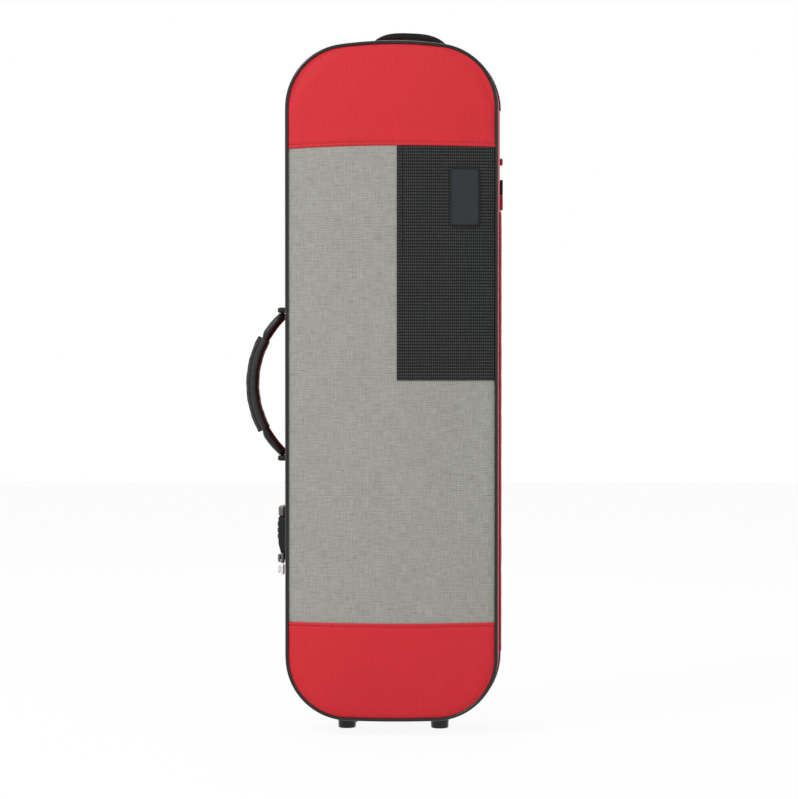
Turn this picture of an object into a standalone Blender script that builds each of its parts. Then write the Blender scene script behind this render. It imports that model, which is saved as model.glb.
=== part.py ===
"""Oblong violin case, standing on the feet of its lower end.

The frame has +Z up along the case, the lid in front (-Y) and the hinge band on the right (+X).
The origin is under the middle of the whole object's box, on the plane that the feet stand on.
"""

import math

import bmesh
import bpy
import numpy as np
from mathutils import Matrix, Vector

# Case body, outside of its textile cover.
BODY_WIDTH = 0.2494
BODY_LENGTH = 0.788
CORNER_RADIUS = 0.0755
TOP_END_RADIUS = 0.450
BOTTOM_END_RADIUS = 1.500
SHARPEST_RADIUS = 0.003
BASE_DEPTH = 0.090
BASE_EDGE_RADIUS = 0.014
LID_DEPTH = 0.046
LID_DRAFT = 0.0034
LID_CROWN = 0.0095

# Walls and the gaps between them.
COVER = 0.0012
BASE_SHELL = 0.005
LID_SHELL = 0.0035
BASE_LINING = 0.005
LID_LINING = 0.004
GAP = 0.0003
PARTING_GAP = 0.0004
LINING_PLAY = 0.0005
SHELL_EDGE_RADIUS = 0.0065
LINING_EDGE_RADIUS = 0.008

# Cords, tapes and bands sewn on the cover.
CORD_RADIUS = 0.002
CORD_INSET = 0.0042
PANEL = 0.0015
TAPE = 0.0015
TAPE_WIDTH = 0.0095
BAND_LOW = CORNER_RADIUS + 0.0025
BAND_HIGH = BODY_LENGTH - 0.196
VALANCE = 0.0025
VALANCE_BELOW, VALANCE_ABOVE = 0.020, 0.005

# Lid panels, as heights above the lower end of the body, and distances right of its middle.
LOWER_SEAM, UPPER_SEAM = 0.1165, BODY_LENGTH - 0.1235
POCKET_LEFT, POCKET_LONG = 0.0063, 0.269
POCKET = 0.0012
LABEL_WIDE, LABEL_LONG, LABEL = 0.0335, 0.0670, 0.0016
LABEL_FROM_SIDE, LABEL_BELOW_SEAM = 0.0237, 0.0250

# Feet.
FOOT_HEIGHT = 0.014
FOOT_TOP_RADIUS, FOOT_TREAD_RADIUS = 0.0114, 0.0102
FOOT_SUNK, FOOT_EDGE_RADIUS = 0.004, 0.0016
FOOT_ACROSS = 0.0545
FOOT_BACK = BASE_DEPTH - 0.028

# Edges of the small fittings, how far a cutter runs past what it cuts, and a loose play.
EDGE, FINE_EDGE, ROUND_EDGE = 0.0012, 0.0005, 0.0030
PAST, FAR_PAST, PLAY = 0.001, 0.010, 0.0008

# Side handle.
HANDLE_MIDDLE = BODY_LENGTH / 2 - 0.0035
HANDLE_DEPTH = 0.028
HANDLE_REACH = 0.0495
HANDLE_PIVOT_OFF = 0.0062
PIN_SPAN = 0.0800
BOW_HALF_THICK, BOW_HALF_WIDE = 0.0055, 0.0090
GRIP_WALL = 0.0029
GRIP_HALF_LENGTH = 0.053
BOW_TAPER, BOW_TIP_SHARE = 0.030, 0.75
PIN_RADIUS, PIN_START, PIN_END = 0.0024, 0.0035, 0.0095
LUG_LONG, LUG_WIDE, LUG_OFF = 0.0125, 0.0150, 0.0112

# Combination lock.
LOCK_TOP = HANDLE_MIDDLE - 0.156
LOCK_BOTTOM = LOCK_TOP - 0.0505
LOCK_CAP = 0.0125
LOCK_FRONT, LOCK_BACK = 0.0142, 0.0362
LOCK_OFF = 0.0105
LOCK_TAPER_OFF = 0.0055
LOCK_TAPER_FROM = LOCK_BOTTOM + 0.019
DIAL_RADIUS, DIAL_ROOT, DIAL_WIDTH, DIAL_PITCH = 0.0059, 0.0051, 0.0056, 0.0071
DIAL_TEETH = 10
DIAL_MIDDLE = LOCK_TOP - 0.016
DIAL_OFF = 0.0063
DIAL_BORE, AXLE_RADIUS, AXLE_SEAT = 0.0014, 0.0011, 0.0030
TONGUE_LONG, TONGUE_WIDE, TONGUE_THICK = 0.0060, 0.0080, 0.0030
TONGUE_OFF, TONGUE_ROOT = 0.0021, 0.0050

# Zip sliders and their pulls.
SLIDER_LONG, SLIDER_WIDE, SLIDER_THICK = 0.0120, 0.0096, 0.0038
SLIDER_LOW = LOCK_BOTTOM - 0.0100
SLIDER_HIGH = SLIDER_LOW + SLIDER_LONG + 0.0013
PULL_THICK, PULL_WIDE = 0.0028, 0.0052
PULL_LOW_LONG, PULL_HIGH_LONG = 0.0205, 0.0115
PULL_EYE_END = 0.0016
BRIDGE_RADIUS, BRIDGE_RISE = 0.0007, 0.0025
POST_OUT, POST_HALF_WIDE, POST_HALF_LONG = 0.0012, 0.0014, 0.0046

# Strap handle on the top end.
TOP_HANDLE_MIDDLE, TOP_HANDLE_HALF, TOP_HANDLE_FLAT = 0.0190, 0.0620, 0.010
TOP_HANDLE_DEPTH, TOP_HANDLE_WIDE = BASE_DEPTH / 2, 0.024
TOP_HANDLE_THICK, TOP_HANDLE_RISE = 0.0030, 0.0115
ANCHOR_LONG, ANCHOR_WIDE, ANCHOR_THICK = 0.020, 0.028, 0.0020
ANCHOR_PAST = 0.002

# Rings for straps on the back, and the webbing tab on the right side.
RING_WIRE, RING_HALF, RING_DROP = 0.0016, 0.0135, 0.0150
RING_CORNER, RING_BOTTOM = 0.0030, 0.0097
RING_OFF = 0.0034
TAB_WIDE, TAB_LONG, TAB_THICK, TAB_EASE = 0.020, 0.026, 0.0020, 0.0030
RING_UPPER, RING_LOWER = BODY_LENGTH - 0.133, 0.130
RING_PLACES = ((-0.045, RING_UPPER), (0.045, RING_UPPER), (-0.072, RING_LOWER), (0.072, RING_LOWER))
SIDE_TAB_LOW = BAND_HIGH + 0.003
SIDE_TAB_HIGH = SIDE_TAB_LOW + 0.035
SIDE_TAB_FRONT, SIDE_TAB_BACK = 0.018, 0.040
SIDE_TAB_THICK = 0.0034

# Inside the base.
DIVIDER_LOW, DIVIDER_THICK = BODY_LENGTH - 0.146, 0.006
CRADLE_LOW, CRADLE_LONG = DIVIDER_LOW - 0.180, 0.050
CRADLE_HALF, CRADLE_TOP = 0.0305, 0.026
CRADLE_HIGH = CRADLE_LOW + CRADLE_LONG
PAD_THICK, PAD_LONG, PAD_EDGE = 0.018, 0.060, 0.005
PADS = (("lower_pad", 0.045, 0.075), ("upper_pad", CRADLE_LOW - 0.144, 0.060))
GROOVE_HALF, GROOVE_DEEP, GROOVE_ROUND = 0.0165, 0.024, 0.006
STRAP_THICK, STRAP_WIDE = 0.0016, 0.025
BOX_LOW, BOX_HIGH = CRADLE_LOW - 0.060, DIVIDER_LOW - 0.010
BOX_INNER, BOX_SIDE_PLAY = 0.036, 0.0039
BOX_TOP, BOX_WALL = 0.0105, 0.004
BOX_LID = 0.004

# Inside the lid.
SPINNER_MIDDLE, SPINNER_ACROSS = 0.100, 0.045
SPINNER_BAR_HALF, SPINNER_BAR_WIDE, SPINNER_BAR_THICK = 0.068, 0.026, 0.006
SPINNER_RADIUS, SPINNER_LEVER, SPINNER_LEVER_WIDE = 0.0080, 0.0190, 0.0095
SPINNER_THICK = 0.0050
SPINNER_PIN_RADIUS = 0.0022
SPINNER_STEM = 0.0055
TIP_LOW, TIP_LONG, TIP_HALF, TIP_DEEP = BODY_LENGTH - 0.050, 0.018, 0.062, 0.018
TIP_HIGH = TIP_LOW + TIP_LONG
TIP_SLOT_WIDE, TIP_SLOT_LONG = 0.013, 0.012

# Derived places.
HALF_WIDTH = BODY_WIDTH / 2
TAPE_OUT = GAP + TAPE
BOTTOM = FOOT_HEIGHT
LEFT_REACH = HALF_WIDTH + HANDLE_REACH
RIGHT_REACH = HALF_WIDTH + GAP + SIDE_TAB_THICK
MIDDLE_X = (LEFT_REACH - RIGHT_REACH) / 2
LID_FRONT = LID_DEPTH + LID_CROWN + GAP + POCKET
BACK_REACH = BASE_DEPTH + GAP + RING_OFF + RING_WIRE + 2 * GAP + TAB_THICK
PARTING_Y = (LID_FRONT - BACK_REACH) / 2
LINING_INSET = COVER + BASE_SHELL + BASE_LINING + 2 * GAP
FLOOR = BASE_DEPTH - LINING_INSET - GAP
BOX_OUTER = HALF_WIDTH - LINING_INSET - BOX_SIDE_PLAY
LID_FLOOR = -(LID_DEPTH - PANEL - LID_SHELL - LID_LINING - 2 * GAP - LINING_PLAY)
CORNER_STEPS = 6
SIDEWAYS = Matrix(((0, 0, 1, 0), (1, 0, 0, 0), (0, 1, 0, 0), (0, 0, 0, 1)))
CROWN_RINGS_REACH = 0.92


def material(name, color, roughness, metallic=0.0):
    """A plain Principled material."""
    made = bpy.data.materials.get(name) or bpy.data.materials.new(name)
    made.use_nodes = True
    shader = made.node_tree.nodes["Principled BSDF"]
    shader.inputs["Base Color"].default_value = (*color, 1.0)
    shader.inputs["Roughness"].default_value = roughness
    shader.inputs["Metallic"].default_value = metallic
    return made


def place(x, depth, height):
    """A point of the part from a distance right of the body's middle, a depth behind the
    parting plane and a height above the body's lower end."""
    return Vector((MIDDLE_X + x, PARTING_Y + depth, BOTTOM + height))


def add_object(name, data, look, collection):
    made = bpy.data.objects.new(name, data)
    made.data.materials.append(look)
    collection.objects.link(made)
    return made


def finish_mesh(name, bm, look, collection, smooth=True):
    """A mesh object from a bmesh, shaded smooth except at sharp edges."""
    mesh = bpy.data.meshes.new(name)
    bm.to_mesh(mesh)
    bm.free()
    made = add_object(name, mesh, look, collection)
    if smooth:
        mesh.shade_smooth()
        mesh.set_sharp_from_angle(angle=math.radians(35))
    return made


def cutter(name, bm, cutters):
    """A hidden solid for a Boolean."""
    made = finish_mesh(name, bm, material("cutter", (0.8, 0.8, 0.8), 0.5), cutters, False)
    made.hide_render = True
    made.display_type = "WIRE"
    return made


def cut(target, tool, operation="DIFFERENCE"):
    step = target.modifiers.new(tool.name, "BOOLEAN")
    step.operation = operation
    step.solver = "EXACT"
    step.object = tool


def solidify(target, thickness):
    """Gives an open surface its wall, inwards from its outer face."""
    step = target.modifiers.new("wall", "SOLIDIFY")
    step.thickness = thickness
    step.offset = -1.0
    step.use_even_offset = True


def move_origin(target, point):
    """Puts an object's origin on its joint axis, leaving its shape where it is."""
    target.data.transform(Matrix.Translation(-point))
    target.location = point


def end_arc(inset, end_radius):
    """Corner radius, half angle and corner centres of one end of the inset outline."""
    corner = max(CORNER_RADIUS - inset, SHARPEST_RADIUS)
    across = HALF_WIDTH - inset - corner
    wide = end_radius - inset
    half_angle = math.asin(across / (wide - corner))
    drop = wide - (wide - corner) * math.cos(half_angle)
    return corner, across, wide, half_angle, drop


def outline(inset):
    """(x, height) points round the case, from the lower right corner and anticlockwise seen
    from the front: two corner arcs and one wide arc at each end, all parallel at any inset."""
    points = []
    ends = ((TOP_END_RADIUS, BODY_LENGTH - inset, 1), (BOTTOM_END_RADIUS, inset, -1))
    for end_radius, tip, up in ends:
        corner, across, wide, half_angle, drop = end_arc(inset, end_radius)
        centre = tip - up * drop
        sweep = np.linspace(0, math.pi / 2 - half_angle, CORNER_STEPS + 1)
        first = [(across + corner * math.cos(a), corner * math.sin(a)) for a in sweep]
        crown = [
            (wide * math.sin(a), wide * math.cos(a) - wide + drop)
            for a in np.linspace(half_angle, -half_angle, 5)[1:-1]
        ]
        last = [(-x, rise) for x, rise in reversed(first)]
        points += [(up * x, centre + up * rise) for x, rise in first + crown + last]
    return points


def end_height(inset, x):
    """Height of the top end of the inset outline at a distance right of the middle."""
    corner, across, wide, half_angle, drop = end_arc(inset, TOP_END_RADIUS)
    tip = BODY_LENGTH - inset
    if abs(x) < wide * math.sin(half_angle):
        return tip - wide + math.sqrt(wide**2 - x**2)
    return tip - drop + math.sqrt(corner**2 - (abs(x) - across) ** 2)


def ring(inset, depth):
    return [place(x, depth, height) for x, height in outline(inset)]


def loft(rings, closed=True, first_cap=False, last_cap=False):
    """A surface through rings of equal count, in order of growing depth, facing outwards."""
    bm = bmesh.new()
    loops = [[bm.verts.new(point) for point in points] for points in rings]
    count = len(loops[0])
    for near, far in zip(loops, loops[1:]):
        for i in range(count if closed else count - 1):
            j = (i + 1) % count
            bm.faces.new((near[i], far[i], far[j], near[j]))
    if first_cap:
        bm.faces.new(loops[0])
    if last_cap:
        bm.faces.new(reversed(loops[-1]))
    return bm


def trim(bm, low, high):
    """Keeps what lies between two corners of a box, given as points of the part."""
    for axis in range(3):
        for corner, sign in ((low, -1), (high, 1)):
            if abs(corner[axis]) > 1:
                continue
            normal = Vector((0, 0, 0))
            normal[axis] = sign
            point = Vector((0, 0, 0))
            point[axis] = corner[axis]
            everything = bm.verts[:] + bm.edges[:] + bm.faces[:]
            bmesh.ops.bisect_plane(
                bm, geom=everything, plane_co=point, plane_no=normal, clear_outer=True
            )


def box(low, high, bevel=0.0, steps=2):
    """A box between two corners, with rounded edges where bevel is given."""
    low, high = Vector(low), Vector(high)
    bm = bmesh.new()
    bmesh.ops.create_cube(bm, size=1)
    bmesh.ops.scale(bm, vec=high - low, verts=bm.verts)
    bmesh.ops.translate(bm, vec=(low + high) / 2, verts=bm.verts)
    if bevel:
        bmesh.ops.bevel(
            bm, geom=bm.edges[:], offset=bevel, segments=steps, profile=0.5, affect="EDGES"
        )
    return bm


def cylinder(start, end, radius, sides=16):
    bm = bmesh.new()
    start, end = Vector(start), Vector(end)
    turn = (end - start).to_track_quat("Z", "Y").to_matrix().to_4x4()
    bmesh.ops.create_cone(
        bm,
        cap_ends=True,
        segments=sides,
        radius1=radius,
        radius2=radius,
        depth=(end - start).length,
        matrix=Matrix.Translation((start + end) / 2) @ turn,
    )
    return bm


def tube(name, points, radius, look, collection, cyclic=False):
    """A wire or cord along points of the part."""
    curve = bpy.data.curves.new(name, "CURVE")
    curve.dimensions = "3D"
    curve.bevel_depth = radius
    curve.bevel_resolution = 2
    curve.use_fill_caps = not cyclic
    spline = curve.splines.new("POLY")
    spline.points.add(len(points) - 1)
    for knot, point in zip(spline.points, points):
        knot.co = (*point, 1)
    spline.use_cyclic_u = cyclic
    return add_object(name, curve, look, collection)


def flat_outline(name, loops, thickness, look, collection, matrix):
    """A flat plate with the given outline and holes, in the XY plane of its matrix."""
    curve = bpy.data.curves.new(name, "CURVE")
    curve.dimensions = "2D"
    curve.fill_mode = "BOTH"
    curve.extrude = thickness / 2
    for points in loops:
        spline = curve.splines.new("POLY")
        spline.points.add(len(points) - 1)
        for knot, (x, y) in zip(spline.points, points):
            knot.co = (x, y, 0, 1)
        spline.use_cyclic_u = True
    made = add_object(name, curve, look, collection)
    made.matrix_world = matrix
    return made


def circle(radius, count, centre=(0.0, 0.0)):
    angles = np.arange(count) * 2 * math.pi / count
    return [(centre[0] + radius * math.cos(a), centre[1] + radius * math.sin(a)) for a in angles]


def base_rings(offset):
    """Open box of the base at an offset inside the cover: straight walls and a round rear edge."""
    radius = BASE_EDGE_RADIUS - offset
    rings = [ring(offset, PARTING_GAP)]
    for angle in np.linspace(0, math.pi / 2, 5):
        inset = BASE_EDGE_RADIUS - radius * math.cos(angle)
        rings.append(ring(inset, BASE_DEPTH - BASE_EDGE_RADIUS + radius * math.sin(angle)))
    return rings


def draft(depth):
    return LID_DRAFT * depth / LID_DEPTH


def crown(inset):
    """Bulge of the lid's front at an inset, a parabola from its edge to its middle."""
    start = CORD_INSET + CORD_RADIUS
    share = min(max((inset - start) / (HALF_WIDTH - start), 0), 1)
    return LID_CROWN * (1 - (1 - share) ** 2)


def front_rings(behind, outermost):
    """Rings of the crowned front, a distance behind its outer surface, innermost first."""
    reach = HALF_WIDTH * CROWN_RINGS_REACH - outermost
    insets = [outermost + reach * share for share in (1, 0.72, 0.48, 0.28, 0.14, 0.05, 0)]
    return [ring(inset, -(LID_DEPTH + crown(inset) - behind)) for inset in insets]


def lid_rings():
    """The lid's shell: crowned front, round edge and drafted sides, by growing depth."""
    wall = COVER + GAP
    behind = PANEL + GAP
    edge = SHELL_EDGE_RADIUS
    side = wall + draft(LID_DEPTH - behind - edge)
    front = LID_DEPTH + crown(side + edge) - behind
    rings = front_rings(behind, side + edge)
    for angle in np.linspace(math.pi / 2, 0, 4)[1:]:
        inset = side + edge * (1 - math.cos(angle))
        rings.append(ring(inset, -(front - edge + edge * math.sin(angle))))
    rings.append(ring(wall, -PARTING_GAP))
    return rings


def lid_lining_rings():
    """The lid's lining: a flat front over the crowned shell, and drafted sides."""
    wall = COVER + LID_SHELL + GAP + LINING_PLAY
    edge = LINING_EDGE_RADIUS
    front = -LID_FLOOR + LID_LINING
    side = wall + draft(front - edge)
    rings = []
    for angle in np.linspace(math.pi / 2, 0, 4):
        inset = side + edge * (1 - math.cos(angle))
        rings.append(ring(inset, -(front - edge + edge * math.sin(angle))))
    rings.append(ring(wall, -PARTING_GAP))
    return rings


def front_patch(name, x_range, height_range, behind, thickness, look, parts):
    """A sheet over part of the crowned front; behind is negative for one laid on the panels."""
    bm = loft(front_rings(behind, CORD_INSET + CORD_RADIUS + GAP), first_cap=True)
    low = place(x_range[0], 0, height_range[0])
    high = place(x_range[1], 0, height_range[1])
    low.y, high.y = -9, 9
    trim(bm, low, high)
    patch = finish_mesh(name, bm, look, parts)
    solidify(patch, thickness)
    return patch


def make_shells(looks, parts):
    for name, offset, wall, look in (
        ("base_cover", 0.0, COVER, "red"),
        ("base_shell", COVER + GAP, BASE_SHELL, "shell"),
        ("base_lining", COVER + BASE_SHELL + 2 * GAP, BASE_LINING, "plush"),
    ):
        made = finish_mesh(name, loft(base_rings(offset), last_cap=True), looks[look], parts)
        solidify(made, wall)
    lid_shell = finish_mesh("lid_shell", loft(lid_rings(), first_cap=True), looks["shell"], parts)
    solidify(lid_shell, LID_SHELL)
    lining = loft(lid_lining_rings(), first_cap=True)
    solidify(finish_mesh("lid_lining", lining, looks["plush"], parts), LID_LINING)
    side_end = LID_DEPTH - CORD_RADIUS - GAP
    side = loft([ring(draft(side_end), -side_end), ring(0, -PARTING_GAP)])
    solidify(finish_mesh("lid_side_cover", side, looks["red"], parts), COVER)
    inset = LINING_INSET + GAP
    valance = loft([ring(inset, -VALANCE_ABOVE), ring(inset, VALANCE_BELOW)])
    solidify(finish_mesh("base_valance", valance, looks["black_plastic"], parts), VALANCE)


def make_lid_panels(looks, parts):
    wide = (-9, 9)
    half_seam = GAP / 2
    panels = (
        ("red_bottom_panel", (-9, LOWER_SEAM - half_seam), "red"),
        ("grey_panel", (LOWER_SEAM + half_seam, UPPER_SEAM - half_seam), "grey"),
        ("red_top_panel", (UPPER_SEAM + half_seam, 9), "red"),
    )
    for name, heights, look in panels:
        front_patch(name, wide, heights, 0.0, PANEL, looks[look], parts)
    pocket = -(GAP + POCKET)
    heights = (UPPER_SEAM - POCKET_LONG, UPPER_SEAM)
    front_patch("mesh_pocket", (POCKET_LEFT, 9), heights, pocket, POCKET, looks["mesh"], parts)
    label = pocket - GAP - LABEL
    right, top = HALF_WIDTH - LABEL_FROM_SIDE, UPPER_SEAM - LABEL_BELOW_SEAM
    across, heights = (right - LABEL_WIDE, right), (top - LABEL_LONG, top)
    front_patch("label_plate", across, heights, label, LABEL, looks["black_plastic"], parts)


def make_cords(looks, parts):
    lid_cord = ring(CORD_INSET, -LID_DEPTH)
    tube("lid_piping", lid_cord, CORD_RADIUS, looks["cord"], parts, cyclic=True)
    seat = (BASE_EDGE_RADIUS + CORD_RADIUS + 2 * GAP) * math.sqrt(0.5)
    depth = BASE_DEPTH - BASE_EDGE_RADIUS + seat
    back_cord = ring(BASE_EDGE_RADIUS - seat, depth)
    tube("base_piping", back_cord, CORD_RADIUS, looks["cord"], parts, cyclic=True)


def strip(name, points_of, near, far, look, parts):
    """A tape between two depths, on the points of a partial outline."""
    rows = [[place(x, depth, height) for x, height in points_of(depth)] for depth in (near, far)]
    made = finish_mesh(name, loft(rows, closed=False), look, parts)
    solidify(made, TAPE)


def make_tapes(looks, parts):
    """Zip tapes round three sides and the two halves of the hinge band on the fourth."""
    halves = (("base", PARTING_GAP, TAPE_WIDTH), ("lid", -TAPE_WIDTH, -PARTING_GAP))
    for side, near, far in halves:

        def tape(depth):
            return outline(draft(max(-depth, 0)) - TAPE_OUT)

        def band(depth):
            x = HALF_WIDTH + TAPE_OUT - draft(max(-depth, 0))
            return [(x, BAND_LOW), (x, BAND_HIGH)]

        strip(f"zip_tape_{side}", tape, near, far, looks["zip"], parts)
        strip(f"hinge_band_{side}", band, near, far, looks["red"], parts)


def make_feet(looks, parts, cutters):
    block = loft([ring(-GAP, -LID_DEPTH), ring(-GAP, BASE_DEPTH)], True, True, True)
    body = cutter("body_outline", block, cutters)
    number = 0
    front = TAPE_WIDTH + FOOT_TOP_RADIUS + 2 * GAP
    for depth in (front, FOOT_BACK):
        for side in (-1, 1):
            number += 1
            bm = bmesh.new()
            height = FOOT_HEIGHT + FOOT_SUNK
            bmesh.ops.create_cone(
                bm,
                cap_ends=True,
                segments=24,
                radius1=FOOT_TREAD_RADIUS,
                radius2=FOOT_TOP_RADIUS,
                depth=height,
            )
            tread = [e for e in bm.edges if all(v.co.z < 0 for v in e.verts)]
            bmesh.ops.bevel(
                bm, geom=tread, offset=FOOT_EDGE_RADIUS, segments=2, profile=0.5, affect="EDGES"
            )
            middle = place(side * FOOT_ACROSS, depth, 0)
            bmesh.ops.translate(bm, vec=(middle.x, middle.y, height / 2), verts=bm.verts)
            cut(finish_mesh(f"foot_{number}", bm, looks["rubber"], parts), body)


def handle_path(steps=16):
    """(off the wall, along) stations of the handle bow's middle, an arc through its reach."""
    top_off = HANDLE_REACH - BOW_HALF_THICK - GRIP_WALL - GAP
    rise = top_off - HANDLE_PIVOT_OFF
    radius = (PIN_SPAN**2 + rise**2) / (2 * rise)
    limit = math.asin(PIN_SPAN / radius)
    angles = np.linspace(-limit, limit, steps + 1)
    return [(top_off - radius * (1 - math.cos(a)), radius * math.sin(a), a) for a in angles]


def oval(off, along, angle, thick, wide, sides=12):
    """A section of the handle, square to its path."""
    points = []
    for turn in np.arange(sides) * 2 * math.pi / sides:
        out = off + thick * math.cos(turn) * math.cos(angle)
        up = along + thick * math.cos(turn) * math.sin(angle)
        depth = HANDLE_DEPTH + wide * math.sin(turn)
        points.append(place(-HALF_WIDTH - out, depth, HANDLE_MIDDLE + up))
    return points


def make_handle(looks, parts, cutters):
    pivot = place(-HALF_WIDTH - HANDLE_PIVOT_OFF, HANDLE_DEPTH, HANDLE_MIDDLE)
    stations = handle_path()
    sections = []
    for off, along, angle in stations:
        ease = min(1.0, BOW_TIP_SHARE + (PIN_SPAN - abs(along)) / BOW_TAPER)
        sections.append(oval(off, along, angle, BOW_HALF_THICK * ease, BOW_HALF_WIDE * ease))
    for sign in (-1, 1):
        pin = []
        for along in (PIN_SPAN + PIN_START, PIN_SPAN + PIN_END):
            pin.append(oval(HANDLE_PIVOT_OFF, sign * along, 0, PIN_RADIUS, PIN_RADIUS))
        sections = sections + pin if sign > 0 else pin[::-1] + sections
    bow = loft(sections, True, True, True)
    bmesh.ops.recalc_face_normals(bow, faces=bow.faces)
    move_origin(finish_mesh("handle_bow", bow, looks["bow"], parts), pivot)
    thick, wide = BOW_HALF_THICK + GAP, BOW_HALF_WIDE + GAP
    rows = []
    for off, along, angle in stations:
        if abs(along) < GRIP_HALF_LENGTH:
            rows.append(oval(off, along, angle, thick + GRIP_WALL, wide + GRIP_WALL))
    grip = finish_mesh("handle_grip", loft(rows), looks["leather"], parts)
    solidify(grip, GRIP_WALL)
    move_origin(grip, pivot)
    for name, sign in (("handle_lug_lower", -1), ("handle_lug_upper", 1)):
        near = PIN_SPAN + PIN_START + GAP
        heights = sorted((sign * near, sign * (near + LUG_LONG)))
        low = place(-HALF_WIDTH - LUG_OFF, HANDLE_DEPTH - LUG_WIDE / 2, HANDLE_MIDDLE + heights[0])
        high = place(-HALF_WIDTH - GAP, HANDLE_DEPTH + LUG_WIDE / 2, HANDLE_MIDDLE + heights[1])
        lug = finish_mesh(name, box(low, high, ROUND_EDGE), looks["black_plastic"], parts)
        bore = (PIN_START - 5 * PAST, PIN_END + PLAY)
        ends = [pivot + Vector((0, 0, sign * (PIN_SPAN + reach))) for reach in bore]
        cut(lug, cutter(name + "_bore", cylinder(*ends, PIN_RADIUS + GAP), cutters))


def dial_outline(turned):
    """A toothed wheel: ribs between shallow flutes, turned by part of a rib."""
    points = []
    flute_and_rib = ((0, DIAL_ROOT), (0.3, DIAL_ROOT), (0.45, DIAL_RADIUS), (0.85, DIAL_RADIUS))
    for tooth in range(DIAL_TEETH):
        for share, radius in flute_and_rib:
            angle = (tooth + share + turned) * 2 * math.pi / DIAL_TEETH
            points.append((radius * math.cos(angle), radius * math.sin(angle)))
    return points


def make_lock(looks, parts, cutters):
    wall = -HALF_WIDTH
    low = place(wall - LOCK_OFF, LOCK_FRONT, LOCK_BOTTOM)
    high = place(wall - GAP, LOCK_BACK, LOCK_TOP)
    body = box(low, high)
    slope = place(0, 0, LOCK_TAPER_FROM).z
    everything = body.verts[:] + body.edges[:] + body.faces[:]
    bmesh.ops.bisect_plane(body, geom=everything, plane_co=(0, 0, slope), plane_no=(0, 0, 1))
    for vert in body.verts:
        if vert.co.z < slope - PAST and vert.co.x < low.x + PAST:
            vert.co.x += LOCK_OFF - LOCK_TAPER_OFF
    corners = [e for e in body.edges if all(v.co.x < high.x - PAST for v in e.verts)]
    bmesh.ops.bevel(body, geom=corners, offset=EDGE, segments=2, profile=0.5, affect="EDGES")
    housing = finish_mesh("lock_housing", body, looks["black_plastic"], parts)

    dial_x = wall - DIAL_OFF
    dial_depth = (LOCK_FRONT + LOCK_BACK) / 2
    bay_half = DIAL_PITCH + DIAL_WIDTH / 2 + GAP
    bay_deep = DIAL_RADIUS + PLAY
    bay_low = place(wall - 2 * FAR_PAST, dial_depth - bay_deep, DIAL_MIDDLE - bay_half)
    bay_high = place(wall + FAR_PAST, dial_depth + bay_deep, DIAL_MIDDLE + bay_half)
    cut(housing, cutter("dial_bay", box(bay_low, bay_high), cutters))
    axle_half = bay_half + AXLE_SEAT
    ends = [place(dial_x, dial_depth, DIAL_MIDDLE + s * axle_half) for s in (-1, 1)]
    finish_mesh("lock_axle", cylinder(*ends, AXLE_RADIUS), looks["steel"], parts)
    bore = [place(dial_x, dial_depth, DIAL_MIDDLE + s * (axle_half + GAP)) for s in (-1, 1)]
    cut(housing, cutter("axle_bore", cylinder(*bore, AXLE_RADIUS + GAP), cutters))
    for number in range(3):
        middle = place(dial_x, dial_depth, DIAL_MIDDLE + (1 - number) * DIAL_PITCH)
        loops = [dial_outline(0.5 * (number % 2)), circle(DIAL_BORE, 12)]
        matrix = Matrix.Translation(middle)
        flat_outline(f"dial_{number + 1}", loops, DIAL_WIDTH, looks["dial"], parts, matrix)

    cap_low = place(wall - LOCK_OFF, LOCK_FRONT, LOCK_TOP + GAP)
    cap_high = place(wall - GAP, LOCK_BACK, LOCK_TOP + GAP + LOCK_CAP)
    cap = finish_mesh("lock_slide", box(cap_low, cap_high, ROUND_EDGE, 3), looks["gunmetal"], parts)
    tongue_x = wall - TONGUE_OFF - TONGUE_THICK
    tongue_low = place(tongue_x, dial_depth - TONGUE_WIDE / 2, LOCK_TOP - TONGUE_LONG)
    tongue_high = place(tongue_x + TONGUE_THICK, dial_depth + TONGUE_WIDE / 2, LOCK_TOP + TONGUE_ROOT)
    cut(cap, cutter("slide_tongue", box(tongue_low, tongue_high), cutters), "UNION")
    room = Vector((GAP, GAP, GAP))
    slot_high = tongue_high + room
    cut(housing, cutter("tongue_slot", box(tongue_low - room, slot_high), cutters))


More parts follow.
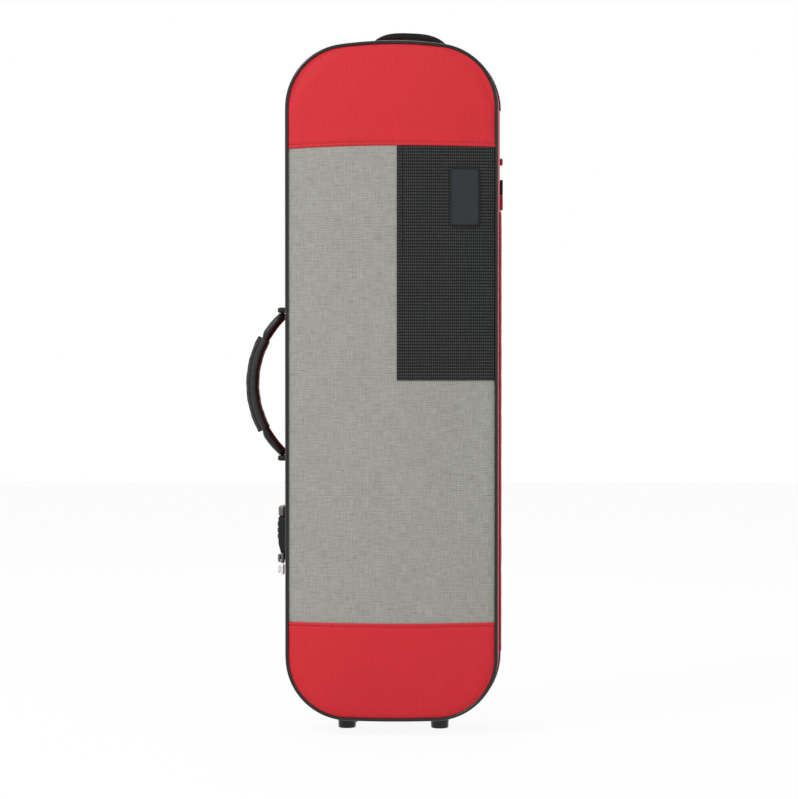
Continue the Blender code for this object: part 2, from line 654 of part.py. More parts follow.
def make_zip_hardware(looks, parts, cutters):
    """Two sliders nose to nose on the parting line, each with a pull that swings on its bridge."""
    sliders = (
        ("lower", SLIDER_LOW, PULL_LOW_LONG, looks["chrome"]),
        ("upper", SLIDER_HIGH, PULL_HIGH_LONG, looks["gunmetal"]),
    )
    inner = -HALF_WIDTH - TAPE_OUT - GAP
    for name, height, length, look in sliders:
        low = place(inner - SLIDER_THICK, -SLIDER_WIDE / 2, height - SLIDER_LONG / 2)
        high = place(inner, SLIDER_WIDE / 2, height + SLIDER_LONG / 2)
        slider = finish_mesh(f"zip_slider_{name}", box(low, high, EDGE), look, parts)
        pivot_x = inner - SLIDER_THICK - BRIDGE_RISE
        pivot = place(pivot_x, 0, height)
        post_low = place(pivot_x - POST_OUT, -POST_HALF_WIDE, height - POST_HALF_LONG)
        post_high = place(inner - SLIDER_THICK + PAST, POST_HALF_WIDE, height + POST_HALF_LONG)
        cut(slider, cutter(f"bridge_{name}", box(post_low, post_high), cutters), "UNION")
        notch = PULL_WIDE / 2 + GAP
        clear = POST_HALF_WIDE + 3 * PAST
        notch_low = place(pivot_x - clear, -clear, height - notch)
        notch_high = place(inner - SLIDER_THICK - GAP, clear, height + notch)
        cut(slider, cutter(f"bridge_notch_{name}", box(notch_low, notch_high), cutters))
        pin_ends = [pivot + Vector((0, 0, s * (POST_HALF_LONG - PAST))) for s in (-1, 1)]
        pin = cutter(f"bridge_pin_{name}", cylinder(*pin_ends, BRIDGE_RADIUS, 10), cutters)
        cut(slider, pin, "UNION")

        half = PULL_THICK / 2
        pull_low = place(pivot_x - half, -PULL_EYE_END, height - PULL_WIDE / 2)
        pull_high = place(pivot_x + half, length - PULL_EYE_END, height + PULL_WIDE / 2)
        pull = finish_mesh(f"zip_pull_{name}", box(pull_low, pull_high, FINE_EDGE, 1), look, parts)
        eye = [pivot + Vector((0, 0, s * (PULL_WIDE / 2 + PAST))) for s in (-1, 1)]
        cut(pull, cutter(f"pull_eye_{name}", cylinder(*eye, BRIDGE_RADIUS + GAP, 10), cutters))
        move_origin(pull, pivot)


def make_top_handle(looks, parts):
    """A strap arched over the top end, each end held down by an anchor plate."""
    middle, half = TOP_HANDLE_MIDDLE, TOP_HANDLE_HALF
    xs = np.linspace(middle - half, middle + half, 19)
    rows = []
    for depth_sign in (-1, 1):
        depth = TOP_HANDLE_DEPTH + depth_sign * TOP_HANDLE_WIDE / 2
        row = []
        for x in xs:
            share = (half - ANCHOR_LONG - abs(x - middle)) / (half - ANCHOR_LONG - TOP_HANDLE_FLAT)
            share = min(1.0, max(0.0, share))
            arch = share**2 * (3 - 2 * share)
            rise = TOP_HANDLE_THICK + GAP + TOP_HANDLE_RISE * arch
            row.append(place(x, depth, end_height(-rise, x)))
        rows.append(row[::-1])
    strap = finish_mesh("top_handle_strap", loft(rows, closed=False), looks["webbing"], parts)
    solidify(strap, TOP_HANDLE_THICK)
    for name, sign in (("top_anchor_left", -1), ("top_anchor_right", 1)):
        ends = (middle + sign * (half + ANCHOR_PAST), middle + sign * (half - ANCHOR_LONG))
        rows = []
        for depth_sign in (-1, 1):
            depth = TOP_HANDLE_DEPTH + depth_sign * ANCHOR_WIDE / 2
            rise = TOP_HANDLE_THICK + ANCHOR_THICK + 3 * GAP
            xs = np.linspace(max(ends), min(ends), 6)
            rows.append([place(x, depth, end_height(-rise, x)) for x in xs])
        anchor = finish_mesh(name, loft(rows, closed=False), looks["black_plastic"], parts)
        solidify(anchor, ANCHOR_THICK)


def make_rings(looks, parts):
    """Back rings hanging in sewn webbing tabs."""
    bar = BASE_DEPTH + GAP + RING_OFF
    hole = RING_WIRE + 2 * GAP
    loop = hole + TAB_THICK
    for number, (x, height) in enumerate(RING_PLACES, 1):
        middle = place(x, bar, height)
        back = -RING_OFF
        turns = np.linspace(-math.pi * 0.72, math.pi / 2, 11)
        lower = [(loop * math.cos(a), loop * math.sin(a)) for a in turns]
        side = [(back + TAB_THICK, loop + TAB_EASE), (back + TAB_THICK, TAB_LONG), (back, TAB_LONG)]
        profile = [(max(u, back), v) for u, v in lower] + side + [(back, -loop * 0.55)]
        matrix = Matrix.Translation(middle) @ SIDEWAYS
        loops = [profile, circle(hole, 12)]
        flat_outline(f"ring_tab_{number}", loops, TAB_WIDE, looks["webbing"], parts, matrix)
        wire = [(RING_HALF - RING_CORNER, 0), (RING_HALF, -RING_CORNER)]
        for turn in np.linspace(0, -math.pi, 9):
            drop = RING_DROP - RING_BOTTOM * math.sin(turn)
            wire.append((RING_HALF * math.cos(turn), -drop))
        wire += [(-RING_HALF, -RING_CORNER), (-RING_HALF + RING_CORNER, 0)]
        points = [(u, 0, v) for u, v in wire]
        tube(f"strap_ring_{number}", points, RING_WIRE, looks["steel"], parts, True).location = middle


def make_side_tab(looks, parts):
    low = place(HALF_WIDTH + GAP, SIDE_TAB_FRONT, SIDE_TAB_LOW)
    high = place(HALF_WIDTH + GAP + SIDE_TAB_THICK, SIDE_TAB_BACK, SIDE_TAB_HIGH)
    finish_mesh("side_tab", box(low, high, FINE_EDGE, 1), looks["webbing"], parts)


def make_supports(looks, parts, cutters):
    """What holds the violin: two pads under its body, and a grooved block under its neck."""
    for name, low_end, half in PADS:
        low = place(-half, FLOOR - PAD_THICK, low_end)
        high = place(half, FLOOR, low_end + PAD_LONG)
        finish_mesh(name, box(low, high, PAD_EDGE), looks["plush"], parts)
    low = place(-CRADLE_HALF, CRADLE_TOP, CRADLE_LOW)
    high = place(CRADLE_HALF, FLOOR, CRADLE_HIGH)
    cradle = finish_mesh("neck_cradle", box(low, high, ROUND_EDGE), looks["plush"], parts)
    groove = box(
        place(-GROOVE_HALF, CRADLE_TOP - 2 * FAR_PAST, CRADLE_LOW - FAR_PAST),
        place(GROOVE_HALF, CRADLE_TOP + GROOVE_DEEP, CRADLE_HIGH + FAR_PAST),
        GROOVE_ROUND,
        3,
    )
    cut(cradle, cutter("neck_groove", groove, cutters))
    middle = (CRADLE_LOW + CRADLE_HIGH) / 2
    strap = box(
        place(-CRADLE_HALF, CRADLE_TOP - GAP - STRAP_THICK, middle - STRAP_WIDE / 2),
        place(CRADLE_HALF, CRADLE_TOP - GAP, middle + STRAP_WIDE / 2),
        0.0005,
        1,
    )
    finish_mesh("neck_strap", strap, looks["webbing"], parts)


def make_compartments(looks, parts, cutters):
    """An accessory box with a hinged lid left of the neck, an open tray right of it, and a
    divider that closes off the top end."""
    for name, sign in (("accessory_box", -1), ("shoulder_rest_tray", 1)):
        xs = sorted((sign * BOX_INNER, sign * BOX_OUTER))
        tray = finish_mesh(
            name,
            box(place(xs[0], BOX_TOP, BOX_LOW), place(xs[1], FLOOR, BOX_HIGH), 0.001, 1),
            looks["plush"],
            parts,
        )
        hollow = box(
            place(xs[0] + BOX_WALL, BOX_TOP - FAR_PAST, BOX_LOW + BOX_WALL),
            place(xs[1] - BOX_WALL, FLOOR - BOX_WALL, BOX_HIGH - BOX_WALL),
        )
        cut(tray, cutter(f"{name}_hollow", hollow, cutters))
    divider = box(
        place(-BOX_OUTER, BOX_TOP, DIVIDER_LOW),
        place(BOX_OUTER, FLOOR, DIVIDER_LOW + DIVIDER_THICK),
        0.001,
        1,
    )
    finish_mesh("end_divider", divider, looks["plush"], parts)
    lid = box(
        place(-BOX_OUTER, BOX_TOP - GAP - BOX_LID, BOX_LOW),
        place(-BOX_INNER, BOX_TOP - GAP, BOX_HIGH),
        0.0012,
    )
    cover = finish_mesh("accessory_lid", lid, looks["plush"], parts)
    move_origin(cover, place(-BOX_OUTER, BOX_TOP - GAP - BOX_LID, (BOX_LOW + BOX_HIGH) / 2))


def make_lid_fittings(looks, parts, cutters):
    """Two turning bow clips on a bar at the frog end, and a slotted holder for the bow tips."""
    seat = LID_FLOOR + GAP
    face = seat + SPINNER_BAR_THICK
    bar = box(
        place(-SPINNER_BAR_HALF, seat, SPINNER_MIDDLE - SPINNER_BAR_WIDE / 2),
        place(SPINNER_BAR_HALF, face, SPINNER_MIDDLE + SPINNER_BAR_WIDE / 2),
        0.0012,
    )
    spinner_bar = finish_mesh("spinner_bar", bar, looks["black_plastic"], parts)
    for number, sign in enumerate((-1, 1), 1):
        middle = place(sign * SPINNER_ACROSS, face, SPINNER_MIDDLE)
        bore = cylinder(
            middle + Vector((0, -SPINNER_BAR_THICK * 0.7, 0)),
            middle + Vector((0, 0.002, 0)),
            SPINNER_PIN_RADIUS + GAP,
            12,
        )
        cut(spinner_bar, cutter(f"spinner_bore_{number}", bore, cutters))
        start = middle + Vector((0, -SPINNER_BAR_THICK * 0.6, 0))
        stem = cylinder(start, middle + Vector((0, SPINNER_STEM, 0)), SPINNER_PIN_RADIUS, 12)
        clip = finish_mesh(f"bow_spinner_{number}", stem, looks["black_plastic"], parts)
        near = SPINNER_STEM - 0.001
        lever_low = middle + Vector((-SPINNER_LEVER_WIDE / 2, near, -SPINNER_LEVER))
        lever_high = middle + Vector((SPINNER_LEVER_WIDE / 2, near + SPINNER_THICK, SPINNER_LEVER))
        lever = cutter(f"spinner_lever_{number}", box(lever_low, lever_high, 0.0015), cutters)
        cut(clip, lever, "UNION")
        hub = cylinder(
            middle + Vector((0, near + 0.0005, 0)),
            middle + Vector((0, near + SPINNER_THICK + 0.001, 0)),
            SPINNER_RADIUS,
            20,
        )
        cut(clip, cutter(f"spinner_hub_{number}", hub, cutters), "UNION")
        move_origin(clip, middle)
    holder = box(
        place(-TIP_HALF, seat, TIP_LOW), place(TIP_HALF, seat + TIP_DEEP, TIP_HIGH), 0.0015
    )
    tips = finish_mesh("bow_tip_holder", holder, looks["plush"], parts)
    for sign in (-1, 1):
        across = sign * SPINNER_ACROSS
        slot = box(
            place(across - TIP_SLOT_WIDE / 2, seat + 0.004, TIP_LOW - 0.004),
            place(across + TIP_SLOT_WIDE / 2, seat + TIP_DEEP - 0.004, TIP_LOW + TIP_SLOT_LONG),
        )
        cut(tips, cutter(f"tip_slot_{'left' if sign < 0 else 'right'}", slot, cutters))


def main():
    for old in list(bpy.data.objects):
        bpy.data.objects.remove(old, do_unlink=True)
    scene = bpy.context.scene.collection
    parts = bpy.data.collections.new("violin_case")
    cutters = bpy.data.collections.new("cutters")
    scene.children.link(parts)
    scene.children.link(cutters)
    looks = {
        "red": material("red_textile", (0.55, 0.03, 0.04), 0.85),
        "grey": material("grey_textile", (0.36, 0.36, 0.33), 0.9),
        "mesh": material("black_mesh", (0.035, 0.036, 0.037), 0.8),
        "cord": material("black_cord", (0.02, 0.02, 0.02), 0.35),
        "shell": material("moulded_shell", (0.30, 0.24, 0.17), 0.7),
        "plush": material("dark_plush", (0.05, 0.05, 0.06), 0.95),
        "zip": material("zip_tape", (0.02, 0.02, 0.02), 0.8),
        "webbing": material("black_webbing", (0.02, 0.02, 0.022), 0.75),
        "leather": material("black_leather", (0.03, 0.03, 0.03), 0.5),
        "bow": material("handle_rubber", (0.03, 0.03, 0.03), 0.45),
        "black_plastic": material("black_plastic", (0.025, 0.025, 0.025), 0.4),
        "dial": material("dial_plastic", (0.015, 0.015, 0.015), 0.35),
        "rubber": material("foot_rubber", (0.02, 0.02, 0.02), 0.3),
        "steel": material("steel", (0.6, 0.6, 0.6), 0.3, 1.0),
        "gunmetal": material("gunmetal", (0.23, 0.23, 0.22), 0.35, 1.0),
        "chrome": material("chrome", (0.8, 0.8, 0.8), 0.12, 1.0),
    }
    make_shells(looks, parts)
    make_lid_panels(looks, parts)
    make_cords(looks, parts)
    make_tapes(looks, parts)
    make_feet(looks, parts, cutters)
    make_handle(looks, parts, cutters)
    make_lock(looks, parts, cutters)
    make_zip_hardware(looks, parts, cutters)
    make_top_handle(looks, parts)
    make_rings(looks, parts)
    make_side_tab(looks, parts)
    make_supports(looks, parts, cutters)
    make_compartments(looks, parts, cutters)
    make_lid_fittings(looks, parts, cutters)


main()
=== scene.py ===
# Violin case standing on the feet of its lower end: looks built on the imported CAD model.
import math

import bmesh
import bpy
import numpy as np
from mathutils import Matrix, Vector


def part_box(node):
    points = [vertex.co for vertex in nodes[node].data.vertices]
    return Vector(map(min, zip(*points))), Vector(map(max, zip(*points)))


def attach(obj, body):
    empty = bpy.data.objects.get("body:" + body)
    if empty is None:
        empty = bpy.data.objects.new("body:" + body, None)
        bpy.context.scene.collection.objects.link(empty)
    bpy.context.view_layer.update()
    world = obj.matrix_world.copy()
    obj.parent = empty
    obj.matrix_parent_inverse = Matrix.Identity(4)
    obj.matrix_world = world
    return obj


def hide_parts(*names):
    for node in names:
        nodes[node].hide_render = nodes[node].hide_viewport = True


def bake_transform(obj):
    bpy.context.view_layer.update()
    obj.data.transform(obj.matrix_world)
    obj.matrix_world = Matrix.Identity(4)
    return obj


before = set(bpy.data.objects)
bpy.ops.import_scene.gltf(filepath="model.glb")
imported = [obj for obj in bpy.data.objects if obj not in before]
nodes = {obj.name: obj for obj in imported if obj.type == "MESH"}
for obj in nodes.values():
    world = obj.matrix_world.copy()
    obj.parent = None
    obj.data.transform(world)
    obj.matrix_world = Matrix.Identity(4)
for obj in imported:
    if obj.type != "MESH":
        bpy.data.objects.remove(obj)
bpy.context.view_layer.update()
print("frame loaded")

# Overall form, repeated from the CAD part; everything else is measured on its nodes.
case = {
    "cornerRadius": 0.0755,
    "topRadius": 0.450,
    "bottomRadius": 1.500,
    "partingGap": 0.0004,
    "lidDepth": 0.046,
    "lidDraft": 0.0034,
    "crown": 0.0095,
    "cordInset": 0.0042,
    "cordRadius": 0.0020,
    "backEdge": 0.0140,
}
coverLow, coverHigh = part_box("base_cover")
half = (coverHigh.x - coverLow.x) / 2
middleX = (coverHigh.x + coverLow.x) / 2
length = coverHigh.z - coverLow.z
bottomZ = coverLow.z
partingY = coverLow.y - case["partingGap"]
baseDepth = coverHigh.y - partingY


def place(x, depth, height):
    # Case places to the frame: right of the middle, behind the parting plane, above the lower end.
    x, depth, height = np.broadcast_arrays(x, depth, height)
    return np.stack([middleX + x, partingY + depth, bottomZ + height], -1)


view = {
    "distance": 3.0,
    "right": 0.099,
    "above": 0.030,
    "aimRight": 0.0086,
    "aimBelow": 0.0204,
    "lens": 117.6,
}


def turnTo(thing, target):
    direction = np.array(target, float) - np.array(thing.location, float)
    flat = math.hypot(direction[0], direction[1])
    thing.rotation_euler = (math.atan2(flat, -direction[2]), 0, math.atan2(-direction[0], direction[1]))


def makeCamera():
    data = bpy.data.cameras.new("camera")
    data.lens = view["lens"]
    camera = bpy.data.objects.new("camera", data)
    bpy.context.scene.collection.objects.link(camera)
    front = partingY - case["lidDepth"]
    centre = bottomZ + length / 2
    camera.location = (middleX + view["right"], front - view["distance"], centre + view["above"])
    turnTo(camera, (middleX + view["aimRight"], front, centre - view["aimBelow"]))
    bpy.context.scene.camera = camera


lamps = {
    "key": {"place": (-1.9, -1.9, 2.5), "size": (1.2, 1.2), "watts": 66, "aim": (0.0, 0.0, 0.45)},
    "fill": {"place": (2.0, -2.0, 1.2), "size": (1.6, 1.6), "watts": 10, "aim": (0.0, 0.0, 0.40)},
    "rim": {"place": (-0.4, 1.8, 2.2), "size": (1.2, 0.8), "watts": 16, "aim": (0.0, 0.0, 0.50)},
}
room = {"light": 0.57, "seen": 1.0, "floor": (243, 243, 243), "floorHalf": 6.0, "floorSeen": 0.93}


def makeLights():
    for name, lamp in lamps.items():
        data = bpy.data.lights.new(name, "AREA")
        data.shape = "RECTANGLE"
        data.size, data.size_y = lamp["size"]
        data.energy = lamp["watts"]
        light = bpy.data.objects.new(name, data)
        light.location = lamp["place"]
        turnTo(light, lamp["aim"])
        bpy.context.scene.collection.objects.link(light)


class Wire:
    # A shader socket in an expression: every operator adds a Math node to the same tree.
    def __init__(self, tree, socket):
        self.tree, self.socket = tree, socket

    def maths(self, operation, *values):
        node = self.tree.nodes.new("ShaderNodeMath")
        node.operation = operation
        for slot, value in zip(node.inputs, values):
            plug(self.tree, slot, value)
        return Wire(self.tree, node.outputs[0])

    def __add__(self, other):
        return self.maths("ADD", self, other)

    def __radd__(self, other):
        return self.maths("ADD", other, self)

    def __sub__(self, other):
        return self.maths("SUBTRACT", self, other)

    def __rsub__(self, other):
        return self.maths("SUBTRACT", other, self)

    def __mul__(self, other):
        return self.maths("MULTIPLY", self, other)

    def __rmul__(self, other):
        return self.maths("MULTIPLY", other, self)

    def __truediv__(self, other):
        return self.maths("DIVIDE", self, other)

    def __rtruediv__(self, other):
        return self.maths("DIVIDE", other, self)

    def larger(self, other):
        return self.maths("MAXIMUM", self, other)

    def within(self):
        return self.maths("MINIMUM", self.larger(0.0), 1.0)

    def wave(self, pitch, shift=0.0):
        # From 0 to 1 and back once each pitch: 0.5 + 0.5 sin(2 pi (v / pitch + shift)).
        turn = self * (2 * math.pi / pitch) + 2 * math.pi * shift
        return turn.maths("SINE", turn) * 0.5 + 0.5

    def step(self, low, high):
        # A straight ramp from 0 at low to 1 at high.
        return ((self - low) / (high - low)).within()


def plug(tree, slot, value):
    if isinstance(value, Wire):
        tree.links.new(value.socket, slot)
    else:
        slot.default_value = value


def tone(red, green, blue):
    # An sRGB colour of 0 to 255 as the linear colour that shaders use.
    def straighten(c):
        c = c / 255
        return c / 12.92 if c <= 0.04045 else ((c + 0.055) / 1.055) ** 2.4
    return (straighten(red), straighten(green), straighten(blue), 1.0)


class Finish:
    # One material, with the nodes that give it its detail.
    def __init__(self, name):
        self.material = bpy.data.materials.new(name)
        self.material.use_nodes = True
        self.tree = self.material.node_tree
        self.shader = self.tree.nodes["Principled BSDF"]

    def node(self, kind, settings=None, sockets=None, output=0):
        # Any node: its settings are set first, then the values or links of its sockets.
        node = self.tree.nodes.new(kind)
        for name, value in (settings or {}).items():
            setattr(node, name, value)
        for name, value in (sockets or {}).items():
            plug(self.tree, node.inputs[name], value)
        return Wire(self.tree, node.outputs[output])

    def vector(self, ownMap=False):
        return self.node("ShaderNodeTexCoord", output="UV" if ownMap else "Object")

    def parts(self, vector):
        split = self.node("ShaderNodeSeparateXYZ", sockets={0: vector})
        return [Wire(self.tree, output) for output in split.socket.node.outputs]

    def joined(self, x, y, z):
        return self.node("ShaderNodeCombineXYZ", sockets={0: x, 1: y, 2: z})

    def scaled(self, vector, size, stretch=(1, 1, 1)):
        # Coordinates counted in lumps of a size in metres, longer where stretch is large.
        sockets = {"Vector": vector, "Scale": tuple(1 / (size * s) for s in stretch)}
        return self.node("ShaderNodeMapping", sockets=sockets)

    def noise(self, vector, size, detail=2.0, rough=0.5, stretch=(1, 1, 1)):
        sockets = {"Vector": self.scaled(vector, size, stretch), "Scale": 1.0}
        sockets.update({"Detail": detail, "Roughness": rough})
        return self.node("ShaderNodeTexNoise", sockets=sockets)

    def cells(self, vector, size, feature):
        sockets = {"Vector": self.scaled(vector, size), "Scale": 1.0}
        return self.node("ShaderNodeTexVoronoi", {"feature": feature}, sockets, "Distance")

    def mixed(self, factor, first, second):
        return self.node("ShaderNodeMix", {"data_type": "RGBA"}, {0: factor, 6: first, 7: second}, 2)

    def between(self, factor, name):
        # From the dark to the light of one pair of shades.
        dark, light = shades[name]
        return self.mixed(factor, tone(*dark), tone(*light))

    def lit(self, color, amount):
        # A colour made lighter or darker by a factor, as a scaled vector.
        color = color if isinstance(color, Wire) else color[:3]
        return self.node("ShaderNodeVectorMath", {"operation": "SCALE"}, {0: color, "Scale": amount})

    def bump(self, height, reach):
        return self.node("ShaderNodeBump", sockets={"Height": height, "Distance": reach})

    def done(self, color, roughness, normal=None, **constants):
        plug(self.tree, self.shader.inputs["Base Color"], color)
        plug(self.tree, self.shader.inputs["Roughness"], roughness)
        if normal is not None:
            plug(self.tree, self.shader.inputs["Normal"], normal)
        words = {"sheen": "Sheen Weight", "sheenRoughness": "Sheen Roughness", "sheenTint": "Sheen Tint",
                 "metallic": "Metallic", "specular": "Specular IOR Level"}
        for name, value in constants.items():
            self.shader.inputs[words[name]].default_value = value
        return self.material


cloth = {
    "red": (201, 35, 45),
    "redDeep": (160, 18, 28),
    "ribPitch": 0.0024,
    "threadPitch": 0.0011,
    "linenPitch": 0.0026,
    "slub": (92, 90, 80),
    "meshDark": (17, 18, 18),
    "meshRow": (19, 20, 21),
    "meshLight": (84, 86, 86),
    "dashAcross": 0.0024,
    "dashUp": 0.0035,
    "twillPitch": 0.0021,
    "tapePitch": 0.0011,
    "strandPitch": 0.0006,
}
# Dark and light shade of each finish that wanders between two.
shades = {
    "linen": ((104, 104, 97), (178, 178, 171)),
    "webbing": ((7, 7, 8), (26, 26, 27)),
    "cord": ((10, 11, 11), (26, 27, 28)),
    "plush": ((27, 28, 32), (58, 60, 66)),
    "padPlush": ((34, 35, 40), (70, 72, 79)),
    "leather": ((9, 10, 10), (30, 31, 31)),
    "zipTape": ((7, 7, 8), (28, 28, 30)),
}


def redCloth(name, ownMap=False, deep=False):
    # Ribs run up the cloth: their height is a wave across it, crossed by finer threads.
    f = Finish(name)
    vector = f.vector(ownMap)
    x, y, z = f.parts(vector)
    across, up = x, y if ownMap else z
    flat = vector if ownMap else f.joined(x, z, 0.0)
    ribs = across.wave(cloth["ribPitch"])
    threads = up.wave(cloth["threadPitch"]) * (across.wave(cloth["ribPitch"] * 2, 0.25) * 0.6 + 0.4)
    slubs = f.noise(flat, 0.0012, 3.0, 0.6, (1.0, 7.0, 1.0))
    blotch = f.noise(flat, 0.035, 3.0, 0.55)
    shade = 0.91 + ribs * 0.07 + threads * 0.03 + (slubs - 0.5) * 0.22 + (blotch - 0.5) * 0.10
    color = f.lit(tone(*cloth["redDeep" if deep else "red"]), shade)
    height = ribs * 0.7 + threads * 0.3 + slubs * 0.5
    rough = 0.66 - ribs * 0.08 + (blotch - 0.5) * 0.12
    return f.done(color, rough, f.bump(height, 0.00022), sheen=0.16, sheenRoughness=0.5,
                  sheenTint=(1.0, 0.60, 0.63, 1.0), specular=0.26)


def greyCloth(name):
    # A linen weave: two sets of uneven threads, each a wave broken by noise stretched along it.
    f = Finish(name)
    x, z = f.parts(f.vector())[::2]
    flat = f.joined(x, z, 0.0)
    upThreads = f.noise(flat, 0.0011, 2.0, 0.6, (1.0, 14.0, 1.0))
    crossThreads = f.noise(flat, 0.0011, 2.0, 0.6, (14.0, 1.0, 1.0))
    grid = x.wave(cloth["linenPitch"]) * 0.5 + z.wave(cloth["linenPitch"]) * 0.5
    slub = f.noise(flat, 0.0016, 1.0, 0.5, (9.0, 1.0, 1.0)).step(0.60, 0.74)
    blotch = f.noise(flat, 0.05, 3.0, 0.5)
    light = (upThreads - 0.5) * 0.55 + (crossThreads - 0.5) * 0.60 + (grid - 0.5) * 0.24
    light = light + (blotch - 0.5) * 0.12
    color = f.mixed(slub * 0.28, f.between((light + 0.5).within(), "linen"), tone(*cloth["slub"]))
    height = upThreads * 0.6 + crossThreads * 0.6 + grid * 0.5
    return f.done(color, 0.82 - light * 0.2, f.bump(height, 0.00025), sheen=0.2, sheenRoughness=0.5,
                  specular=0.3)


def meshCloth(name):
    # Light dashes in a close grid over a dark ground: the product of two sharpened waves.
    f = Finish(name)
    x, z = f.parts(f.vector())[::2]
    flat = f.joined(x, z, 0.0)
    dashes = x.wave(cloth["dashAcross"]).step(0.52, 0.80) * z.wave(cloth["dashUp"]).step(0.40, 0.62)
    rows = z.wave(cloth["dashUp"], 0.5).step(0.55, 0.9)
    wear = f.noise(flat, 0.0030, 2.0, 0.6)
    blotch = f.noise(flat, 0.04, 2.0, 0.5)
    ground = f.mixed(rows * 0.3, tone(*cloth["meshDark"]), tone(*cloth["meshRow"]))
    bright = (dashes * (0.45 + wear * 0.9)).within()
    color = f.lit(f.mixed(bright, ground, tone(*cloth["meshLight"])), 0.86 + blotch * 0.28)
    height = dashes * 0.8 + (1 - rows) * 0.15
    return f.done(color, 0.66 + wear * 0.12, f.bump(height, 0.00030), sheen=0.05, sheenRoughness=0.5,
                  specular=0.18)


def webbing(name, ownMap=True):
    # A twill band: diagonal ridges, with the seam's own map running along the band.
    f = Finish(name)
    vector = f.vector(ownMap)
    u, v = f.parts(vector)[:2] if ownMap else f.parts(vector)[1:]
    zig = v.maths("PINGPONG", v, 0.0025)
    ridges = (u + zig * 1.1).wave(cloth["twillPitch"])
    fuzz = f.noise(vector, 0.0008, 3.0, 0.7)
    color = f.between((ridges * 0.55 + fuzz * 0.45).within(), "webbing")
    return f.done(color, 0.62 + fuzz * 0.2, f.bump(ridges + fuzz * 0.4, 0.00035), sheen=0.12,
                  sheenRoughness=0.4, specular=0.25)


def cordSkin(name):
    # A smooth drawn skin with faint creases across it and a few dull scuffs.
    f = Finish(name)
    vector = f.vector(True)
    creases = f.noise(vector, 0.0030, 2.0, 0.5, (1.0, 6.0, 1.0))
    scuffs = f.noise(vector, 0.012, 3.0, 0.6).step(0.55, 0.8)
    color = f.between(scuffs * 0.5 + creases * 0.2, "cord")
    return f.done(color, 0.30 + scuffs * 0.15, f.bump(creases, 0.00012), specular=0.4)


def plush(name, pair="plush"):
    # Short pile: fine fuzz under broad strokes where the pile lies over.
    f = Finish(name)
    vector = f.vector()
    pile = f.noise(vector, 0.0009, 3.0, 0.7)
    strokes = f.noise(vector, 0.030, 3.0, 0.55, (1.0, 1.0, 2.2))
    color = f.between((pile * 0.6 + strokes * 0.6 - 0.1).within(), pair)
    return f.done(color, 0.90 - strokes * 0.1, f.bump(pile + strokes * 0.6, 0.0005), sheen=0.8,
                  sheenRoughness=0.35, sheenTint=(0.75, 0.78, 0.85, 1.0), specular=0.15)


def leather(name):
    # Grained hide: cell edges as fine creases, with broader softening by wear.
    f = Finish(name)
    vector = f.vector()
    grain = f.cells(vector, 0.0016, "DISTANCE_TO_EDGE").step(0.0, 0.18)
    pores = f.noise(vector, 0.0007, 2.0, 0.6)
    worn = f.noise(vector, 0.014, 3.0, 0.55)
    color = f.between((worn * 0.7 + grain * 0.25).within(), "leather")
    height = grain * 0.8 + pores * 0.35
    return f.done(color, 0.46 - worn * 0.10 + pores * 0.06, f.bump(height, 0.00022), specular=0.35)


def moulded(name, color=(14, 15, 15), roughness=0.40, grainSize=0.0006, depth=0.00006):
    # Moulded plastic or rubber: spark-eroded grain, faint scratches and slightly polished areas.
    f = Finish(name)
    vector = f.vector()
    grain = f.noise(vector, grainSize, 2.0, 0.6)
    rubbed = f.noise(vector, 0.010, 3.0, 0.6)
    scratch = f.noise(vector, 0.0010, 1.0, 0.5, (1.0, 1.0, 18.0)).step(0.66, 0.72)
    shade = f.lit(tone(*color), 0.85 + rubbed * 0.35 + scratch * 0.5)
    rough = roughness - (rubbed - 0.5) * 0.18 + grain * 0.05
    return f.done(shade, rough, f.bump(grain - scratch * 0.3, depth), specular=0.35)


def metal(name, color, roughness, brushed=0.5):
    # Metal with fine drawn lines, tiny pits and smeared polish.
    f = Finish(name)
    vector = f.vector()
    lines = f.noise(vector, 0.0005, 2.0, 0.6, (14.0, 1.0, 1.0))
    smears = f.noise(vector, 0.008, 3.0, 0.6)
    shade = f.lit(tone(*color), 0.88 + smears * 0.16 + lines * 0.10)
    return f.done(shade, roughness + (smears - 0.5) * 0.10 + lines * 0.06 * brushed,
                  f.bump(lines * brushed + smears * 0.3, 0.00004), metallic=1.0)


def thread(name, color):
    # Twisted thread: fine slanting strands.
    f = Finish(name)
    vector = f.vector()
    x, y, z = f.parts(vector)
    strands = (x + z * 1.3 + y).wave(cloth["strandPitch"])
    fuzz = f.noise(vector, 0.0004, 2.0, 0.6)
    return f.done(f.lit(tone(*color), 0.7 + strands * 0.35 + fuzz * 0.3), 0.62 + fuzz * 0.1,
                  f.bump(strands, 0.00008), sheen=0.2, sheenRoughness=0.4)


def zipCloth(name):
    # Herringbone zip tape: two slanting sets of ridges that meet every few millimetres.
    f = Finish(name)
    vector = f.vector(True)
    u, v = f.parts(vector)[:2]
    bands = v.maths("PINGPONG", v, 0.0018)
    ridges = (u + bands * 1.2).wave(cloth["tapePitch"])
    fuzz = f.noise(vector, 0.0007, 2.0, 0.7)
    color = f.between((ridges * 0.5 + fuzz * 0.4).within(), "zipTape")
    return f.done(color, 0.72 + fuzz * 0.15, f.bump(ridges + fuzz * 0.3, 0.00018), sheen=0.1,
                  sheenRoughness=0.4, specular=0.2)


